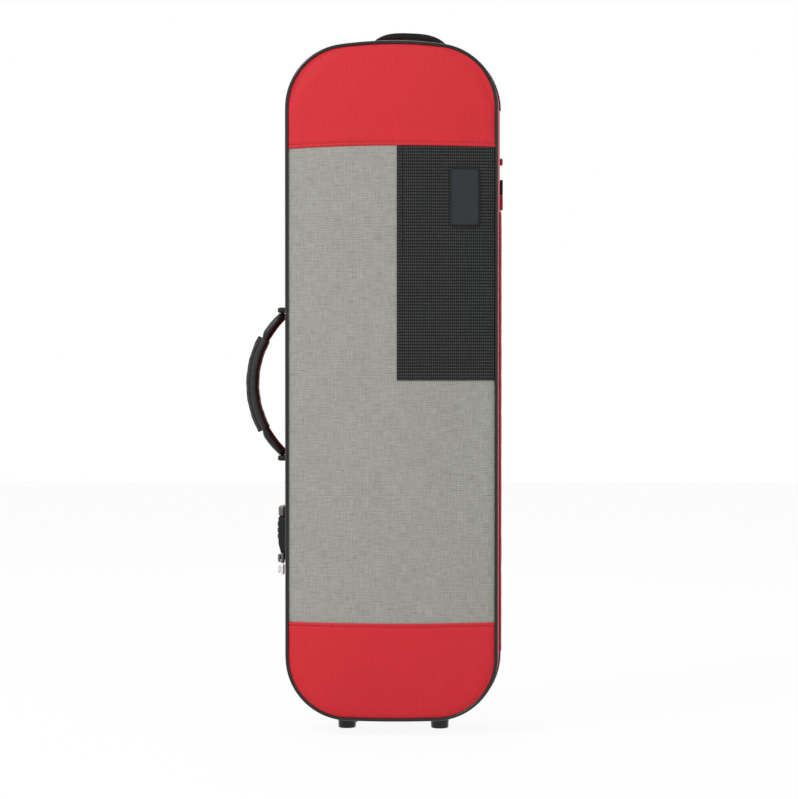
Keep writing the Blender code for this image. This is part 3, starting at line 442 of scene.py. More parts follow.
def makeFinishes():
    return {
        "red": redCloth("redCloth"),
        "redSide": redCloth("redSideCloth", True),
        "redBand": redCloth("redBandCloth", True, True),
        "grey": greyCloth("greyLinen"),
        "mesh": meshCloth("dottedMesh"),
        "cord": cordSkin("pipingSkin"),
        "webbing": webbing("blackWebbing"),
        "webbingPlain": webbing("webbingPlain", False),
        "redBandPlain": redCloth("redBandPlain", False, True),
        "zipTape": zipCloth("zipTapeCloth"),
        "plush": plush("darkPlush"),
        "padPlush": plush("padPlush", "padPlush"),
        "leather": leather("blackLeather"),
        "bow": moulded("handleRubber", (13, 13, 14), 0.36, 0.0009, 0.00010),
        "plastic": moulded("blackPlastic"),
        "dial": moulded("dialPlastic", (8, 8, 9), 0.30),
        "coil": moulded("zipCoilNylon", (22, 22, 23), 0.30),
        "rubber": moulded("footRubber", (8, 8, 9), 0.22, 0.0008, 0.00005),
        "label": moulded("labelRubber", (24, 29, 33), 0.46),
        "labelRim": moulded("labelRimRubber", (15, 15, 16), 0.22),
        "shell": moulded("mouldedShell", (40, 40, 42), 0.6, 0.0014, 0.0002),
        "steel": metal("brightSteel", (206, 207, 208), 0.24),
        "gunmetal": metal("satinGunmetal", (104, 104, 102), 0.36),
        "chrome": metal("polishedChrome", (222, 223, 224), 0.10, 0.1),
        # The red thread is much darker than the cloth: the thread's own red with the shade of the stitch
        # holes painted into it.
        "redThreadPaintedShade": thread("redThreadPaintedShade", (84, 9, 17)),
        "blackThread": thread("blackThread", (22, 22, 23)),
        "greyThread": thread("greyThread", (142, 142, 138)),
    }


def makeStage():
    # The floor keeps the shadow; seen directly, by reflection or through glass it is mostly plain white.
    f = Finish("paleFloor")
    grain = f.noise(f.vector(), 0.020, 2.0, 0.5)
    f.done(f.lit(tone(*room["floor"]), 0.99 + grain * 0.02), 0.85)
    path = f.node("ShaderNodeLightPath", output="Is Camera Ray")
    outputs = path.socket.node.outputs
    direct = path
    for kind in ("Is Glossy Ray", "Is Transmission Ray"):
        direct = direct.larger(Wire(f.tree, outputs[kind]))
    glow = f.node("ShaderNodeEmission", sockets={"Color": (1, 1, 1, 1), "Strength": 1.0})
    body = Wire(f.tree, f.shader.outputs[0])
    mixed = f.node("ShaderNodeMixShader", sockets={0: direct * room["floorSeen"], 1: body, 2: glow})
    f.tree.links.new(mixed.socket, f.tree.nodes["Material Output"].inputs["Surface"])
    across = np.array([-1, 1]) * room["floorHalf"]
    points = np.stack(np.broadcast_arrays(across[None, :], across[:, None], 0.0), -1)
    gridMesh("floor", points, material=f.material)
    makeWorld()


def makeWorld():
    # One even light for the object; the camera and mirrors see plain white.
    world = bpy.data.worlds.new("studio")
    world.use_nodes = True
    bpy.context.scene.world = world
    tree = world.node_tree
    back = tree.nodes["Background"]
    seen = tree.nodes.new("ShaderNodeBackground")
    for shader, strength in ((back, room["light"]), (seen, room["seen"])):
        shader.inputs["Color"].default_value = (1, 1, 1, 1)
        shader.inputs["Strength"].default_value = strength
    lightPath = tree.nodes.new("ShaderNodeLightPath")
    either = tree.nodes.new("ShaderNodeMath")
    either.operation = "MAXIMUM"
    swap = tree.nodes.new("ShaderNodeMixShader")
    for link in ((lightPath.outputs["Is Camera Ray"], either.inputs[0]),
                 (lightPath.outputs["Is Glossy Ray"], either.inputs[1]),
                 (either.outputs[0], swap.inputs[0]), (back.outputs[0], swap.inputs[1]),
                 (seen.outputs[0], swap.inputs[2]),
                 (swap.outputs[0], tree.nodes["World Output"].inputs["Surface"])):
        tree.links.new(*link)


def meshFrom(name, points, quads, material=None, patch=None):
    # A mesh of four-cornered faces, each given as four point numbers.
    corners, starts = quads.ravel(), np.arange(0, quads.size, 4)
    mesh = bpy.data.meshes.new(name)
    mesh.vertices.add(len(points))
    mesh.vertices.foreach_set("co", np.ascontiguousarray(points, np.float32).ravel())
    mesh.loops.add(len(corners))
    mesh.loops.foreach_set("vertex_index", np.ascontiguousarray(corners, np.int32))
    mesh.polygons.add(len(starts))
    mesh.polygons.foreach_set("loop_start", np.ascontiguousarray(starts, np.int32))
    if patch is not None:
        layer = mesh.uv_layers.new(name="cloth")
        layer.data.foreach_set("uv", np.ascontiguousarray(patch, np.float32).ravel())
    mesh.polygons.foreach_set("use_smooth", np.ones(len(starts), bool))
    mesh.update(calc_edges=True)
    if material:
        mesh.materials.append(material)
    made = bpy.data.objects.new(name, mesh)
    bpy.context.scene.collection.objects.link(made)
    return made


def gridMesh(name, points, wrapRows=False, wrapColumns=False, flip=False, patch=None, material=None):
    # One quad between each point and its next neighbours along the rows and the columns.
    rows, columns = points.shape[:2]
    index = np.arange(rows * columns).reshape(rows, columns)
    grids = [index] if patch is None else [index, patch[..., 0], patch[..., 1]]
    if wrapRows:
        grids[0] = np.vstack([grids[0], grids[0][:1]])
    if wrapColumns:
        grids[0] = np.hstack([grids[0], grids[0][:, :1]])
    around = [facesOf(g) for g in grids]
    if flip:
        around = [g[:, ::-1] for g in around]
    flat = None if patch is None else np.stack(around[1:], -1).reshape(-1, 2)
    return meshFrom(name, points.reshape(-1, 3), around[0], material, flat)


def facesOf(index):
    # Each grid square's four corners, from a grid of point numbers or values.
    corners = [index[..., :-1, :-1], index[..., :-1, 1:], index[..., 1:, 1:], index[..., 1:, :-1]]
    return np.stack(corners, -1).reshape(-1, 4)


def weld(made):
    # Joins doubled points, such as a pole's, and turns every face of a closed shape outwards.
    bm = bmesh.new()
    bm.from_mesh(made.data)
    bmesh.ops.remove_doubles(bm, verts=bm.verts, dist=1e-6)
    bmesh.ops.recalc_face_normals(bm, faces=bm.faces)
    bm.to_mesh(made.data)
    bm.free()
    return made


def wall(made, thickness):
    # A sheet gets its thickness inwards, away from its normals.
    step = made.modifiers.new("wall", "SOLIDIFY")
    step.thickness = thickness
    step.offset = -1.0
    step.use_even_offset = True
    return made


outlineSteps = {"corner": 22, "end": 14, "side": 90}


def endArc(inset, endRadius):
    # A wide end arc of the inset outline, tangent inside to two corner arcs that touch the straight sides.
    corner = np.maximum(case["cornerRadius"] - inset, 0.003)
    across = half - inset - corner
    wide = endRadius - inset
    lean = np.arcsin(across / (wide - corner))
    drop = wide - (wide - corner) * np.cos(lean)
    return corner, across, wide, lean, drop


def outline(inset, hingeSide=True):
    # Parallel outlines, one row for each inset: anticlockwise from the upper right corner, as seen
    # from the front; corner points turn evenly, and the hinge side's straight run comes last.
    inset = np.atleast_1d(np.asarray(inset, float))[:, None]
    share = np.linspace(0, 1, outlineSteps["corner"] + 1)[None]
    swing = np.linspace(1, -1, outlineSteps["end"] + 2)[None, 1:-1]
    ends = []
    for endRadius, tip, up in ((case["topRadius"], length - inset, 1), (case["bottomRadius"], inset, -1)):
        corner, across, wide, lean, drop = endArc(inset, endRadius)
        turn = (math.pi / 2 - lean) * share
        cornerX, cornerH = across + corner * np.cos(turn), corner * np.sin(turn)
        endX, endH = wide * np.sin(lean * swing), wide * np.cos(lean * swing) - wide + drop
        xs = np.concatenate([cornerX, endX, -cornerX[:, ::-1]], 1)
        hs = np.concatenate([cornerH, endH, cornerH[:, ::-1]], 1)
        ends.append((up * xs, tip - up * drop + up * hs))
    (topX, topH), (lowX, lowH) = ends
    run = np.linspace(0, 1, outlineSteps["side"] + 1)[None, 1:-1]
    leftH = topH[:, -1:] + (lowH[:, :1] - topH[:, -1:]) * run
    rightH = lowH[:, -1:] + (topH[:, :1] - lowH[:, -1:]) * run
    xs, hs = [topX, topX[:, -1:] + 0 * run, lowX], [topH, leftH, lowH]
    if hingeSide:
        xs, hs = xs + [lowX[:, -1:] + 0 * run], hs + [rightH]
    return np.concatenate(xs, 1), np.concatenate(hs, 1)


def travel(x, h, closed):
    # Distance gone along a line of points, with the way back to the first point where it closes.
    if closed:
        x, h = np.append(x, x[0]), np.append(h, h[0])
    return np.concatenate([[0], np.cumsum(np.hypot(np.diff(x), np.diff(h)))])


def outlineLoft(name, profile, material, closedProfile=False, hingeSide=True, flip=False):
    # A profile of (inset, depth) points carried round the case: each point's ring is the outline at
    # its inset, so the piece keeps the same section everywhere.
    profile = np.array(profile, float)
    x, h = outline(profile[:, 0], hingeSide)
    depth = profile[:, 1:] + 0 * x
    atWall = outline(0.0, hingeSide)
    u = travel(atWall[0][0], atWall[1][0], hingeSide)
    steps = np.linalg.norm(np.diff(np.vstack([profile, profile[:1]]), axis=0), axis=1)
    v = np.concatenate([[0], np.cumsum(steps)])[: len(profile) + (1 if closedProfile else 0)]
    patch = np.stack(np.broadcast_arrays(u[None, :], v[:, None]), -1)
    return gridMesh(name, place(x, depth, h), closedProfile, hingeSide, flip, patch, material)


def endHeight(inset, x, up):
    # Height of the outline's upper or lower end above a place across the case.
    radius, tip = (case["topRadius"], length - inset) if up > 0 else (case["bottomRadius"], inset)
    corner, across, wide, lean, drop = endArc(inset, radius)
    near = np.minimum(np.abs(x), wide * np.sin(lean))
    flat = tip - up * (wide - np.sqrt(wide**2 - near**2))
    past = np.clip(np.abs(x) - across, 0, corner)
    turned = tip - up * (drop - np.sqrt(np.maximum(corner**2 - past**2, 0)))
    return np.where(np.abs(x) < wide * np.sin(lean), flat, turned)


def edgeDistance(x, h):
    # How far a place on the front lies in from the outline. Near a corner the distances from the side
    # and the end are rounded together, by a radius that grows inwards so that no crease shows.
    side = half - np.abs(x)
    bow = lambda radius: radius - np.sqrt(radius**2 - x**2)
    end = np.minimum(length - bow(case["topRadius"]) - h, h - bow(case["bottomRadius"]))
    nearest = np.minimum(side, end)
    radius = case["cornerRadius"] + 0.4 * np.clip(nearest, 0, half)
    for _ in range(2):
        rounded = radius - np.hypot(np.maximum(radius - side, 0), np.maximum(radius - end, 0))
        nearest = np.where(nearest < radius, rounded, nearest)
        radius = case["cornerRadius"] + 0.4 * np.clip(nearest, 0, half)
    return nearest


def crownDepth(x, h):
    # The lid's front: a parabola of the distance from the edge, bulging towards the front.
    start = case["cordInset"] + case["cordRadius"]
    share = np.clip((edgeDistance(x, h) - start) / (half - start), 0, 1)
    return -(case["lidDepth"] + case["crown"] * (1 - (1 - share) ** 2))


def hump(value, middle, spread):
    # A smooth bell: exp(-((value - middle) / spread) squared).
    return np.exp(-(((value - middle) / spread) ** 2))


def ripples(x, h, seed, size):
    # Soft unevenness between -1 and 1: a mean of sine waves in seeded directions.
    source = np.random.default_rng(seed)
    total = 0
    for _ in range(6):
        turn = source.uniform(0, math.pi)
        phase = source.uniform(0, 2 * math.pi)
        pitch = size * source.uniform(0.6, 1.6)
        total = total + np.sin((x * math.cos(turn) + h * math.sin(turn)) * 2 * math.pi / pitch + phase)
    return total / 6


front = {
    "edgeRoll": 0.0007, "edgeRollWide": 0.0022,
    "stitchOff": 0.0042, "stitchPitch": 0.0034, "stitchLong": 0.0024, "stitchThick": 0.00080,
    "fold": 0.0009, "sink": 0.00055, "pucker": 0.00016, "uneven": 0.00022,
    "upperSag": (0.0034, 0.0016), "lowerSag": (0.0010, 0.0010),
    "thickness": 0.0011, "overPocket": 0.0013,
}
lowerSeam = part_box("red_bottom_panel")[1].z - bottomZ
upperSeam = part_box("red_top_panel")[0].z - bottomZ
pocketLow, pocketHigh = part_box("mesh_pocket")
pocketLeft, pocketBottom = pocketLow.x - middleX, pocketLow.z - bottomZ


def seamHeight(x, upper):
    # A seam's line across the front: it droops by a parabola towards each side.
    left, right = front["upperSag"] if upper else front["lowerSag"]
    sag = np.where(x < 0, left, right) * (x / half) ** 2
    return upperSeam - sag if upper else lowerSeam + sag


def frontGrid(lowOf, highOf, xs, rows, ease=2.0):
    # Columns of points between two lines across the front, closer together near both lines.
    t = np.linspace(-1, 1, rows)[:, None]
    t = 0.5 + 0.5 * np.sign(t) * (1 - (1 - np.abs(t)) ** ease)
    low, high = lowOf(xs)[None], highOf(xs)[None]
    return np.broadcast_to(xs[None], (rows, len(xs))), low + (high - low) * t


def frontColumns(inset):
    # Places across the case, close together towards both sides.
    corner, across = endArc(inset, case["topRadius"])[:2]
    turn = np.linspace(0, math.pi / 2, 30)
    outer = across + corner * np.cos(turn)
    inner = np.linspace(across, -across, 76)[1:-1]
    return np.concatenate([outer, inner, -outer[::-1]])[::-1]


def frontPiece(name, xs, lowOf, highOf, rows, relief, material, thickness, ease=2.0):
    x, h = frontGrid(lowOf, highOf, xs, rows, ease)
    depth = crownDepth(x, h) - relief(x, h)
    made = gridMesh(name, place(x, depth, h), patch=np.stack([x, h], -1), material=material)
    return wall(made, thickness)


def edgeRelief(x, h):
    # The cloth rolls down beside the piping, puffs a little further in, and is nowhere quite even.
    start = case["cordInset"] + case["cordRadius"] + 0.0003
    inside = edgeDistance(x, h) - start
    roll = -front["edgeRoll"] * np.exp(-np.maximum(inside, 0) / front["edgeRollWide"])
    puff = 0.00035 * hump(inside, 0.010, 0.007)
    ripple = front["pucker"] * ripples(x, h, 4, 0.014) * np.exp(-np.maximum(inside, 0) / 0.008)
    return roll + puff + ripple + front["uneven"] * ripples(x, h, 9, 0.085)


def seamRelief(distance, along):
    # Across a lapped seam: the fold's edge drops away, the stitches pull a groove and the cloth
    # swells beyond it.
    fold = -front["fold"] * np.exp(-np.maximum(distance, 0) / 0.0006)
    pull = 1 + 0.30 * np.cos(along * 2 * math.pi / front["stitchPitch"])
    groove = -front["sink"] * hump(distance, front["stitchOff"], 0.0010) * pull
    lip = 0.00055 * hump(distance, 0.0021, 0.0014)
    swell = 0.00030 * hump(distance, 0.0090, 0.0050)
    gather = front["pucker"] * ripples(along, 0 * along, 21, 0.012)
    gather = gather * np.exp(-np.maximum(distance, 0) / 0.010)
    return fold + groove + lip + swell + gather


def makeFront(finish):
    inset = case["cordInset"] + case["cordRadius"] * 0.75
    xs = frontColumns(inset)
    top = lambda x: endHeight(inset, x, 1)
    bottom = lambda x: endHeight(inset, x, -1)
    upper = lambda x: seamHeight(x, True)
    lower = lambda x: seamHeight(x, False)

    def topRelief(x, h):
        # The upper cloth also laps over the pocket's top, so it stands higher there.
        over = front["overPocket"] * np.clip((x - pocketLeft) / 0.003 + 0.5, 0, 1)
        lift = over * np.exp(-np.maximum(h - upper(x), 0) / 0.008)
        return 0.0006 + lift + edgeRelief(x, h) + seamRelief(h - upper(x), x)

    bottomRelief = lambda x, h: 0.0006 + edgeRelief(x, h) + seamRelief(lower(x) - h, x)
    tuck = 0.006

    def greyRelief(x, h):
        # Under both red folds the linen sinks a little; it swells softly in between.
        near = np.minimum(upper(x) - h, h - lower(x))
        return edgeRelief(x, h) - 0.0006 * np.exp(-np.maximum(near, 0) / 0.002)

    thick = front["thickness"]
    red, grey = finish["red"], finish["grey"]
    topCloth = frontPiece("redTopCloth", xs, upper, top, 84, topRelief, red, thick, 2.4)
    bottomCloth = frontPiece("redBottomCloth", xs, bottom, lower, 84, bottomRelief, red, thick, 2.4)
    greyPanel = frontPiece("greyCloth", xs, lambda x: lower(x) - tuck, lambda x: upper(x) + tuck, 220,
                           greyRelief, grey, thick, 1.4)
    finished(topCloth, "lid", "red_textile", "red_top_panel")
    finished(bottomCloth, "lid", "red_textile", "red_bottom_panel")
    finished(greyPanel, "lid", "grey_textile", "grey_panel")
    inside = xs[(xs > -half + 0.008) & (xs < half - 0.008)]
    above, below = (lambda x: upper(x) + front["stitchOff"]), (lambda x: lower(x) - front["stitchOff"])
    frontStitches("upperSeamStitches", inside, above, topRelief, finish["redThreadPaintedShade"])
    frontStitches("lowerSeamStitches", inside, below, bottomRelief, finish["redThreadPaintedShade"])
    print("front cloths made")


cord = {"sides": 14}
cover = {"thickness": 0.0010, "groove": 0.0009, "grooveWide": 0.10, "swell": 0.00025, "uneven": 0.00015}


def cordProfile(inset, depth, radius):
    turn = np.arange(cord["sides"]) * 2 * math.pi / cord["sides"]
    return [(inset + radius * math.cos(a), depth + radius * math.sin(a)) for a in turn]


def draft(depth):
    # The lid's sides lean in evenly towards its front.
    return case["lidDraft"] * depth / case["lidDepth"]


def makePiping(name, inset, depth, finish):
    profile = cordProfile(inset, depth, case["cordRadius"])
    return weld(outlineLoft(name, profile, finish["cord"], True))


def makeCovers(finish):
    lidPiping = makePiping("lidPiping", case["cordInset"], -case["lidDepth"], finish)
    edge = case["backEdge"]
    seat = (edge + case["cordRadius"] + 0.0006) * math.sqrt(0.5)
    backPiping = makePiping("backPiping", edge - seat, baseDepth - edge + seat, finish)
    # Lid side: from the piping back to the parting line, with a turned hem behind the zip tape.
    end = case["lidDepth"] - case["cordRadius"] - 0.0003
    thick = cover["thickness"]
    lidSide = [(draft(end) + 0.0011, -end - 0.0004), (draft(end) + 0.0003, -end)]
    lidSide += [(draft(end - 0.002), -end + 0.002)]
    lidSide += [(draft(d), -d) for d in np.linspace(end - 0.006, 0.0016, 9)]
    lidSide += [(0.0001, -0.0010), (0.0005, -case["partingGap"])]
    lidSideCloth = wall(outlineLoft("lidSideCloth", lidSide, finish["redSide"], flip=True), thick)
    # Base side: parting line, straight wall, rounded rear edge as far as the back panel.
    baseSide = [(0.0005, case["partingGap"]), (0.0001, 0.0010)]
    baseSide += [(0.0, d) for d in np.linspace(0.0018, baseDepth - edge, 14)]
    for turn in np.linspace(0, math.pi / 2, 12)[1:]:
        radius = edge - cover["groove"] * math.exp(-((turn - math.pi / 4) / cover["grooveWide"]) ** 2)
        baseSide.append((edge - radius * math.cos(turn), baseDepth - edge + radius * math.sin(turn)))
    baseSideCloth = wall(outlineLoft("baseSideCloth", baseSide, finish["redSide"], flip=True), thick)
    # Back panel: a flat sheet inside the rounded edge, swelling very slightly.
    rim = edge - 0.0002
    xs = frontColumns(rim)
    x, h = frontGrid(lambda x: endHeight(rim, x, -1), lambda x: endHeight(rim, x, 1), xs, 200, 1.6)
    inside = edgeDistance(x, h) - edge
    relief = cover["swell"] * (1 - np.exp(-np.maximum(inside, 0) / 0.02))
    relief = relief + cover["uneven"] * ripples(x, h, 33, 0.09)
    relief = relief * np.clip(inside / 0.01, 0, 1)
    backCloth = gridMesh("backCloth", place(x, baseDepth + relief, h), flip=True,
                         patch=np.stack([x, h], -1), material=finish["red"])
    finished(lidPiping, "lid", "cord", "lid_piping")
    finished(backPiping, "base", "cord", "base_piping")
    finished(lidSideCloth, "lid", "red_textile", "lid_side_cover")
    finished(baseSideCloth, "base", "red_textile", "base_cover")
    finished(wall(backCloth, thick), "base", "red_textile")
    print("covers and pipings made")


def softened(made, degrees=38):
    # Smooth shading except across edges sharper than an angle.
    made.data.set_sharp_from_angle(angle=math.radians(degrees))
    return made


def finished(piece, body, slot, *replaced):
    # What every piece states: the CAD nodes it stands for, which are hidden, and the body it rides on; its
    # material slot is not used.
    if replaced:
        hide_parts(*replaced)
    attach(piece, body)
    return piece


def unit(vectors):
    return vectors / np.linalg.norm(vectors, axis=1)[:, None]


def centreOf(low, high):
    return (low.x + high.x) / 2, (low.y + high.y) / 2, (low.z + high.z) / 2


def sweep(name, path, side, out, section, material, closed=False):
    # A closed section of (sideways, outwards) steps is carried to every place of a path; an open path
    # gets its end rings drawn to their middles.
    path, section = np.asarray(path, float), np.asarray(section, float)
    section = np.broadcast_to(section, (len(path), *section.shape[-2:]))
    side, out = np.broadcast_to(side, path.shape), np.broadcast_to(out, path.shape)
    points = path[:, None] + section[..., :1] * side[:, None] + section[..., 1:] * out[:, None]
    if not closed:
        ends = [np.broadcast_to(points[k].mean(0), points[k].shape)[None] for k in (0, -1)]
        points = np.concatenate([ends[0], points, ends[1]])
    loop = np.concatenate([points, points[:, :1]], 1)
    u = np.concatenate([[0], np.cumsum(np.linalg.norm(np.diff(loop[len(loop) // 2], axis=0), axis=1))])
    along = np.concatenate([points, points[:1]]) if closed else points
    v = np.concatenate([[0], np.cumsum(np.linalg.norm(np.diff(along[:, 0], axis=0), axis=1))])
    patch = np.stack(np.broadcast_arrays(u[None], v[:, None]), -1)
    made = gridMesh(name, points, closed, True, False, patch, material)
    return softened(weld(made))


def loopSweep(name, path, section, material):
    # A section carried round a closed loop that lies across the case's depth.
    out = np.cross(unit(np.roll(path, -1, 0) - np.roll(path, 1, 0)), (0.0, 1.0, 0.0))
    return sweep(name, path, (0.0, 1.0, 0.0), out, section, material, True)


def roundRectangle(halfA, halfB, corner, steps=6):
    # A rectangle whose corners are quarter circles, anticlockwise from the right side.
    corner = max(min(corner, halfA, halfB), 1e-5)
    turn = np.linspace(0, math.pi / 2, steps + 1)[None] + np.arange(4)[:, None] * math.pi / 2
    a = np.array([1, -1, -1, 1])[:, None] * (halfA - corner) + corner * np.cos(turn)
    b = np.array([1, 1, -1, -1])[:, None] * (halfB - corner) + corner * np.sin(turn)
    return np.stack([a.ravel(), b.ravel()], -1)


def block(name, low, high, corner, edge, material, axis=1, crown=(0.0, 0.0)):
    # A round-cornered outline raised along one axis; both rims are quarter circles and each end may
    # crown as a paraboloid.
    low, high = np.array(low, float), np.array(high, float)
    middle, size = (low + high) / 2, (high - low) / 2
    a, b = [k for k in range(3) if k != axis]
    turn = np.linspace(0, math.pi / 2, 6)
    rim = [(edge * (1 - math.sin(t)), size[axis] - edge * (1 - math.cos(t))) for t in turn]
    rows = []
    for sign, bulge in ((-1, crown[0]), (1, crown[1])):
        end = []
        for share in (0.0, 0.3, 0.6, 0.85):
            ring = roundRectangle(size[a] - edge, size[b] - edge, corner - edge) * share
            end.append((ring, sign * (size[axis] + bulge * (1 - share**2))))
        for inset, reach in rim:
            end.append((roundRectangle(size[a] - inset, size[b] - inset, corner - inset), sign * reach))
        rows += end if sign < 0 else end[::-1]
    points = np.zeros((len(rows), len(rows[0][0]), 3))
    for row, (ring, along) in zip(points, rows):
        row[:, a] = middle[a] + ring[:, 0]
        row[:, b] = middle[b] + ring[:, 1]
        row[:, axis] = middle[axis] + along
    return softened(weld(gridMesh(name, points, wrapColumns=True, material=material)))


def lathe(name, base, axis, profile, material, sides=20):
    # A profile of (radius, along) turned round an axis through a place.
    axis = np.array(axis, float) / np.linalg.norm(axis)
    first = np.cross(axis, (0.0, 0.0, 1.0) if abs(axis[2]) < 0.9 else (1.0, 0.0, 0.0))
    first = first / np.linalg.norm(first)
    second = np.cross(axis, first)
    turn = np.arange(sides) * 2 * math.pi / sides
    ring = np.cos(turn)[:, None] * first + np.sin(turn)[:, None] * second
    radius, along = np.array(profile, float).T
    points = np.asarray(base, float) + along[:, None, None] * axis + radius[:, None, None] * ring[None]
    return softened(weld(gridMesh(name, points, wrapColumns=True, material=material)), 50)


def evenly(points, pitch, margin=0.0):
    # Places at an even pitch along a line of points, and the line's direction at each.
    gone = np.concatenate([[0], np.cumsum(np.linalg.norm(np.diff(points, axis=0), axis=1))])
    count = max(int((gone[-1] - 2 * margin) / pitch), 1)
    at = margin + (np.arange(count) + 0.5) * (gone[-1] - 2 * margin) / count
    spots = np.stack([np.interp(at, gone, points[:, k]) for k in range(3)], -1)
    ahead = np.stack([np.interp(at + pitch * 0.3, gone, points[:, k]) for k in range(3)], -1)
    behind = np.stack([np.interp(at - pitch * 0.3, gone, points[:, k]) for k in range(3)], -1)
    return spots, unit(ahead - behind)


def capsules(name, spots, along, out, long, thick, material, arch=0.6):
    # One short bar at each spot: its radius follows a half ellipse along it, and its ends dip by a
    # parabola.
    spots = np.asarray(spots, float)
    along, out = np.broadcast_to(along, spots.shape), np.broadcast_to(out, spots.shape)
    side = np.cross(along, out)
    sides = 6
    t = np.array([-1, -0.86, -0.4, 0.4, 0.86, 1])
    radius = thick / 2 * np.sqrt(1 - t**2)
    turn = np.arange(sides) * 2 * math.pi / sides
    lift = radius[:, None] * np.sin(turn)[None] - arch * thick * (t**2)[:, None]
    sway = radius[:, None] * np.cos(turn)[None]
    points = (spots[:, None, None] + along[:, None, None] * (t * long / 2)[None, :, None, None]
              + side[:, None, None] * sway[None, ..., None] + out[:, None, None] * lift[None, ..., None])
    index = np.arange(len(spots) * len(t) * sides).reshape(len(spots), len(t), sides)
    index = np.concatenate([index, index[..., :1]], -1)
    return weld(meshFrom(name, points.reshape(-1, 3), facesOf(index), material))


def sewn(name, lines, look, out, material, body, slot, margin=0.0):
    # Stitches at an even pitch along one or more lines; a look is (pitch, length, thickness).
    pitch, long, thick = look
    rows = [evenly(line, pitch, margin) for line in lines]
    spots, along = (np.concatenate([row[k] for row in rows]) for k in (0, 1))
    finished(capsules(name, spots, along, out, long, thick, material), body, slot)


def frontStitches(name, xs, heightOf, relief, material):
    # A row of stitches lying on a front cloth.
    h = heightOf(xs)
    depth = crownDepth(xs, h) - relief(xs, h) - front["stitchThick"] * 0.1
    look = (front["stitchPitch"], front["stitchLong"], front["stitchThick"])
    sewn(name, [place(xs, depth, h)], look, (0.0, -1.0, 0.0), material, "lid", "red_textile", 0.001)


pocket = {
    "rise": 0.0011, "hemWide": 0.0069, "hemRise": 0.0005, "slitDeep": 0.0008, "slitWide": 0.0010,
    "slitFrom": 0.538, "sag": 0.0009, "hemBottom": 0.0080, "thickness": 0.0006,
    "coilHalf": (0.00075, 0.0004), "roll": 0.0010, "rollWide": 0.0004,
    "stitch": (0.0029, 0.0021, 0.0005), "stitchIn": 0.0018, "hemStitchIn": 0.0014,
}


def pocketRelief(x, h):
    # Above the linen: a hem down the left edge and along the bottom, a slit beside the hem, and a soft
    # bulge in the middle of the mesh.
    fromLeft, fromBottom = x - pocketLeft, h - pocketBottom
    hem = np.clip((pocket["hemWide"] - fromLeft) / 0.0006, 0, 1) * pocket["hemRise"]
    lowHem = np.clip((pocket["hemBottom"] - fromBottom) / 0.0006, 0, 1) * pocket["hemRise"]
    opened = 0.45 + 0.55 * np.clip((h - pocket["slitFrom"]) / 0.012, 0, 1)
    slit = pocket["slitDeep"] * hump(fromLeft, pocket["hemWide"] + 0.0004, pocket["slitWide"]) * opened
    roll = sum(np.exp(-np.maximum(off, 0) / pocket["rollWide"]) for off in (fromLeft, fromBottom))
    roll = -pocket["roll"] * roll
    across = np.clip(fromLeft / (half - pocketLeft), 0, 1)
    up = np.clip(fromBottom / (upperSeam - pocketBottom), 0, 1)
    bulge = pocket["sag"] * 6 * across * (1 - across) * np.sin(math.pi * up) ** 0.5 * (1.2 - up)
    wrinkle = 0.00022 * ripples(x, h, 12, 0.040)
    tuckedIn = 0.4 + 0.6 * np.clip((seamHeight(x, True) - h) / 0.003, 0, 1)
    shape = pocket["rise"] + np.maximum(hem, lowHem) - slit + roll + bulge + wrinkle
    return shape * tuckedIn + edgeRelief(x, h)


def makePocket(finish):
    inset = case["cordInset"] + case["cordRadius"] * 0.75
    hemEnd = pocketLeft + pocket["hemWide"]
    xs = np.concatenate([pocketLeft + np.array([0, 0.0003, 0.0007, 0.0013, 0.002]),
                         np.linspace(pocketLeft + 0.0028, hemEnd + 0.0022, 20),
                         np.linspace(hemEnd + 0.0036, half - inset - 0.003, 60),
                         half - inset - np.array([0.0018, 0.0008, 0.0])])
    low, high = lambda x: pocketBottom + 0 * x, lambda x: seamHeight(x, True) + 0.004
    mesh = frontPiece("pocketMesh", xs, low, high, 170, pocketRelief, finish["mesh"], pocket["thickness"],
                      1.7)
    finished(mesh, "lid", "mesh_textile", "mesh_pocket")
    hs = np.linspace(pocket["slitFrom"], upperSeam - 0.006, 40)
    slitX = hemEnd + 0.0005
    depth = crownDepth(slitX, hs) - pocketRelief(slitX, hs)
    coil = sweep("pocketZip", place(slitX, depth, hs), (1.0, 0.0, 0.0), (0.0, -1.0, 0.0),
                 roundRectangle(*pocket["coilHalf"], 0.0003, 2), finish["coil"])
    finished(coil, "lid", "black_plastic")

    def overPocket(x, h):
        return place(x, crownDepth(x, h) - pocketRelief(x, h) - 0.0001, h)

    hs = np.linspace(pocketBottom + 0.002, upperSeam - 0.002, 120)
    xs = np.linspace(pocketLeft + 0.004, half - 0.008, 60)
    lines = [overPocket(x, hs) for x in (pocketLeft + pocket["stitchIn"], hemEnd - pocket["hemStitchIn"])]
    for up in (pocket["stitchIn"], pocket["hemBottom"] - pocket["hemStitchIn"]):
        lines.append(overPocket(xs, pocketBottom + up + 0 * xs))
    sewn("pocketStitches", lines, pocket["stitch"], (0.0, -1.0, 0.0), finish["blackThread"], "lid",
         "mesh_textile")
    print("pocket made")


label = {"corner": 0.0032, "rim": 0.0017, "rimRise": 0.0022, "fieldRise": 0.0013, "sunk": 0.0006}


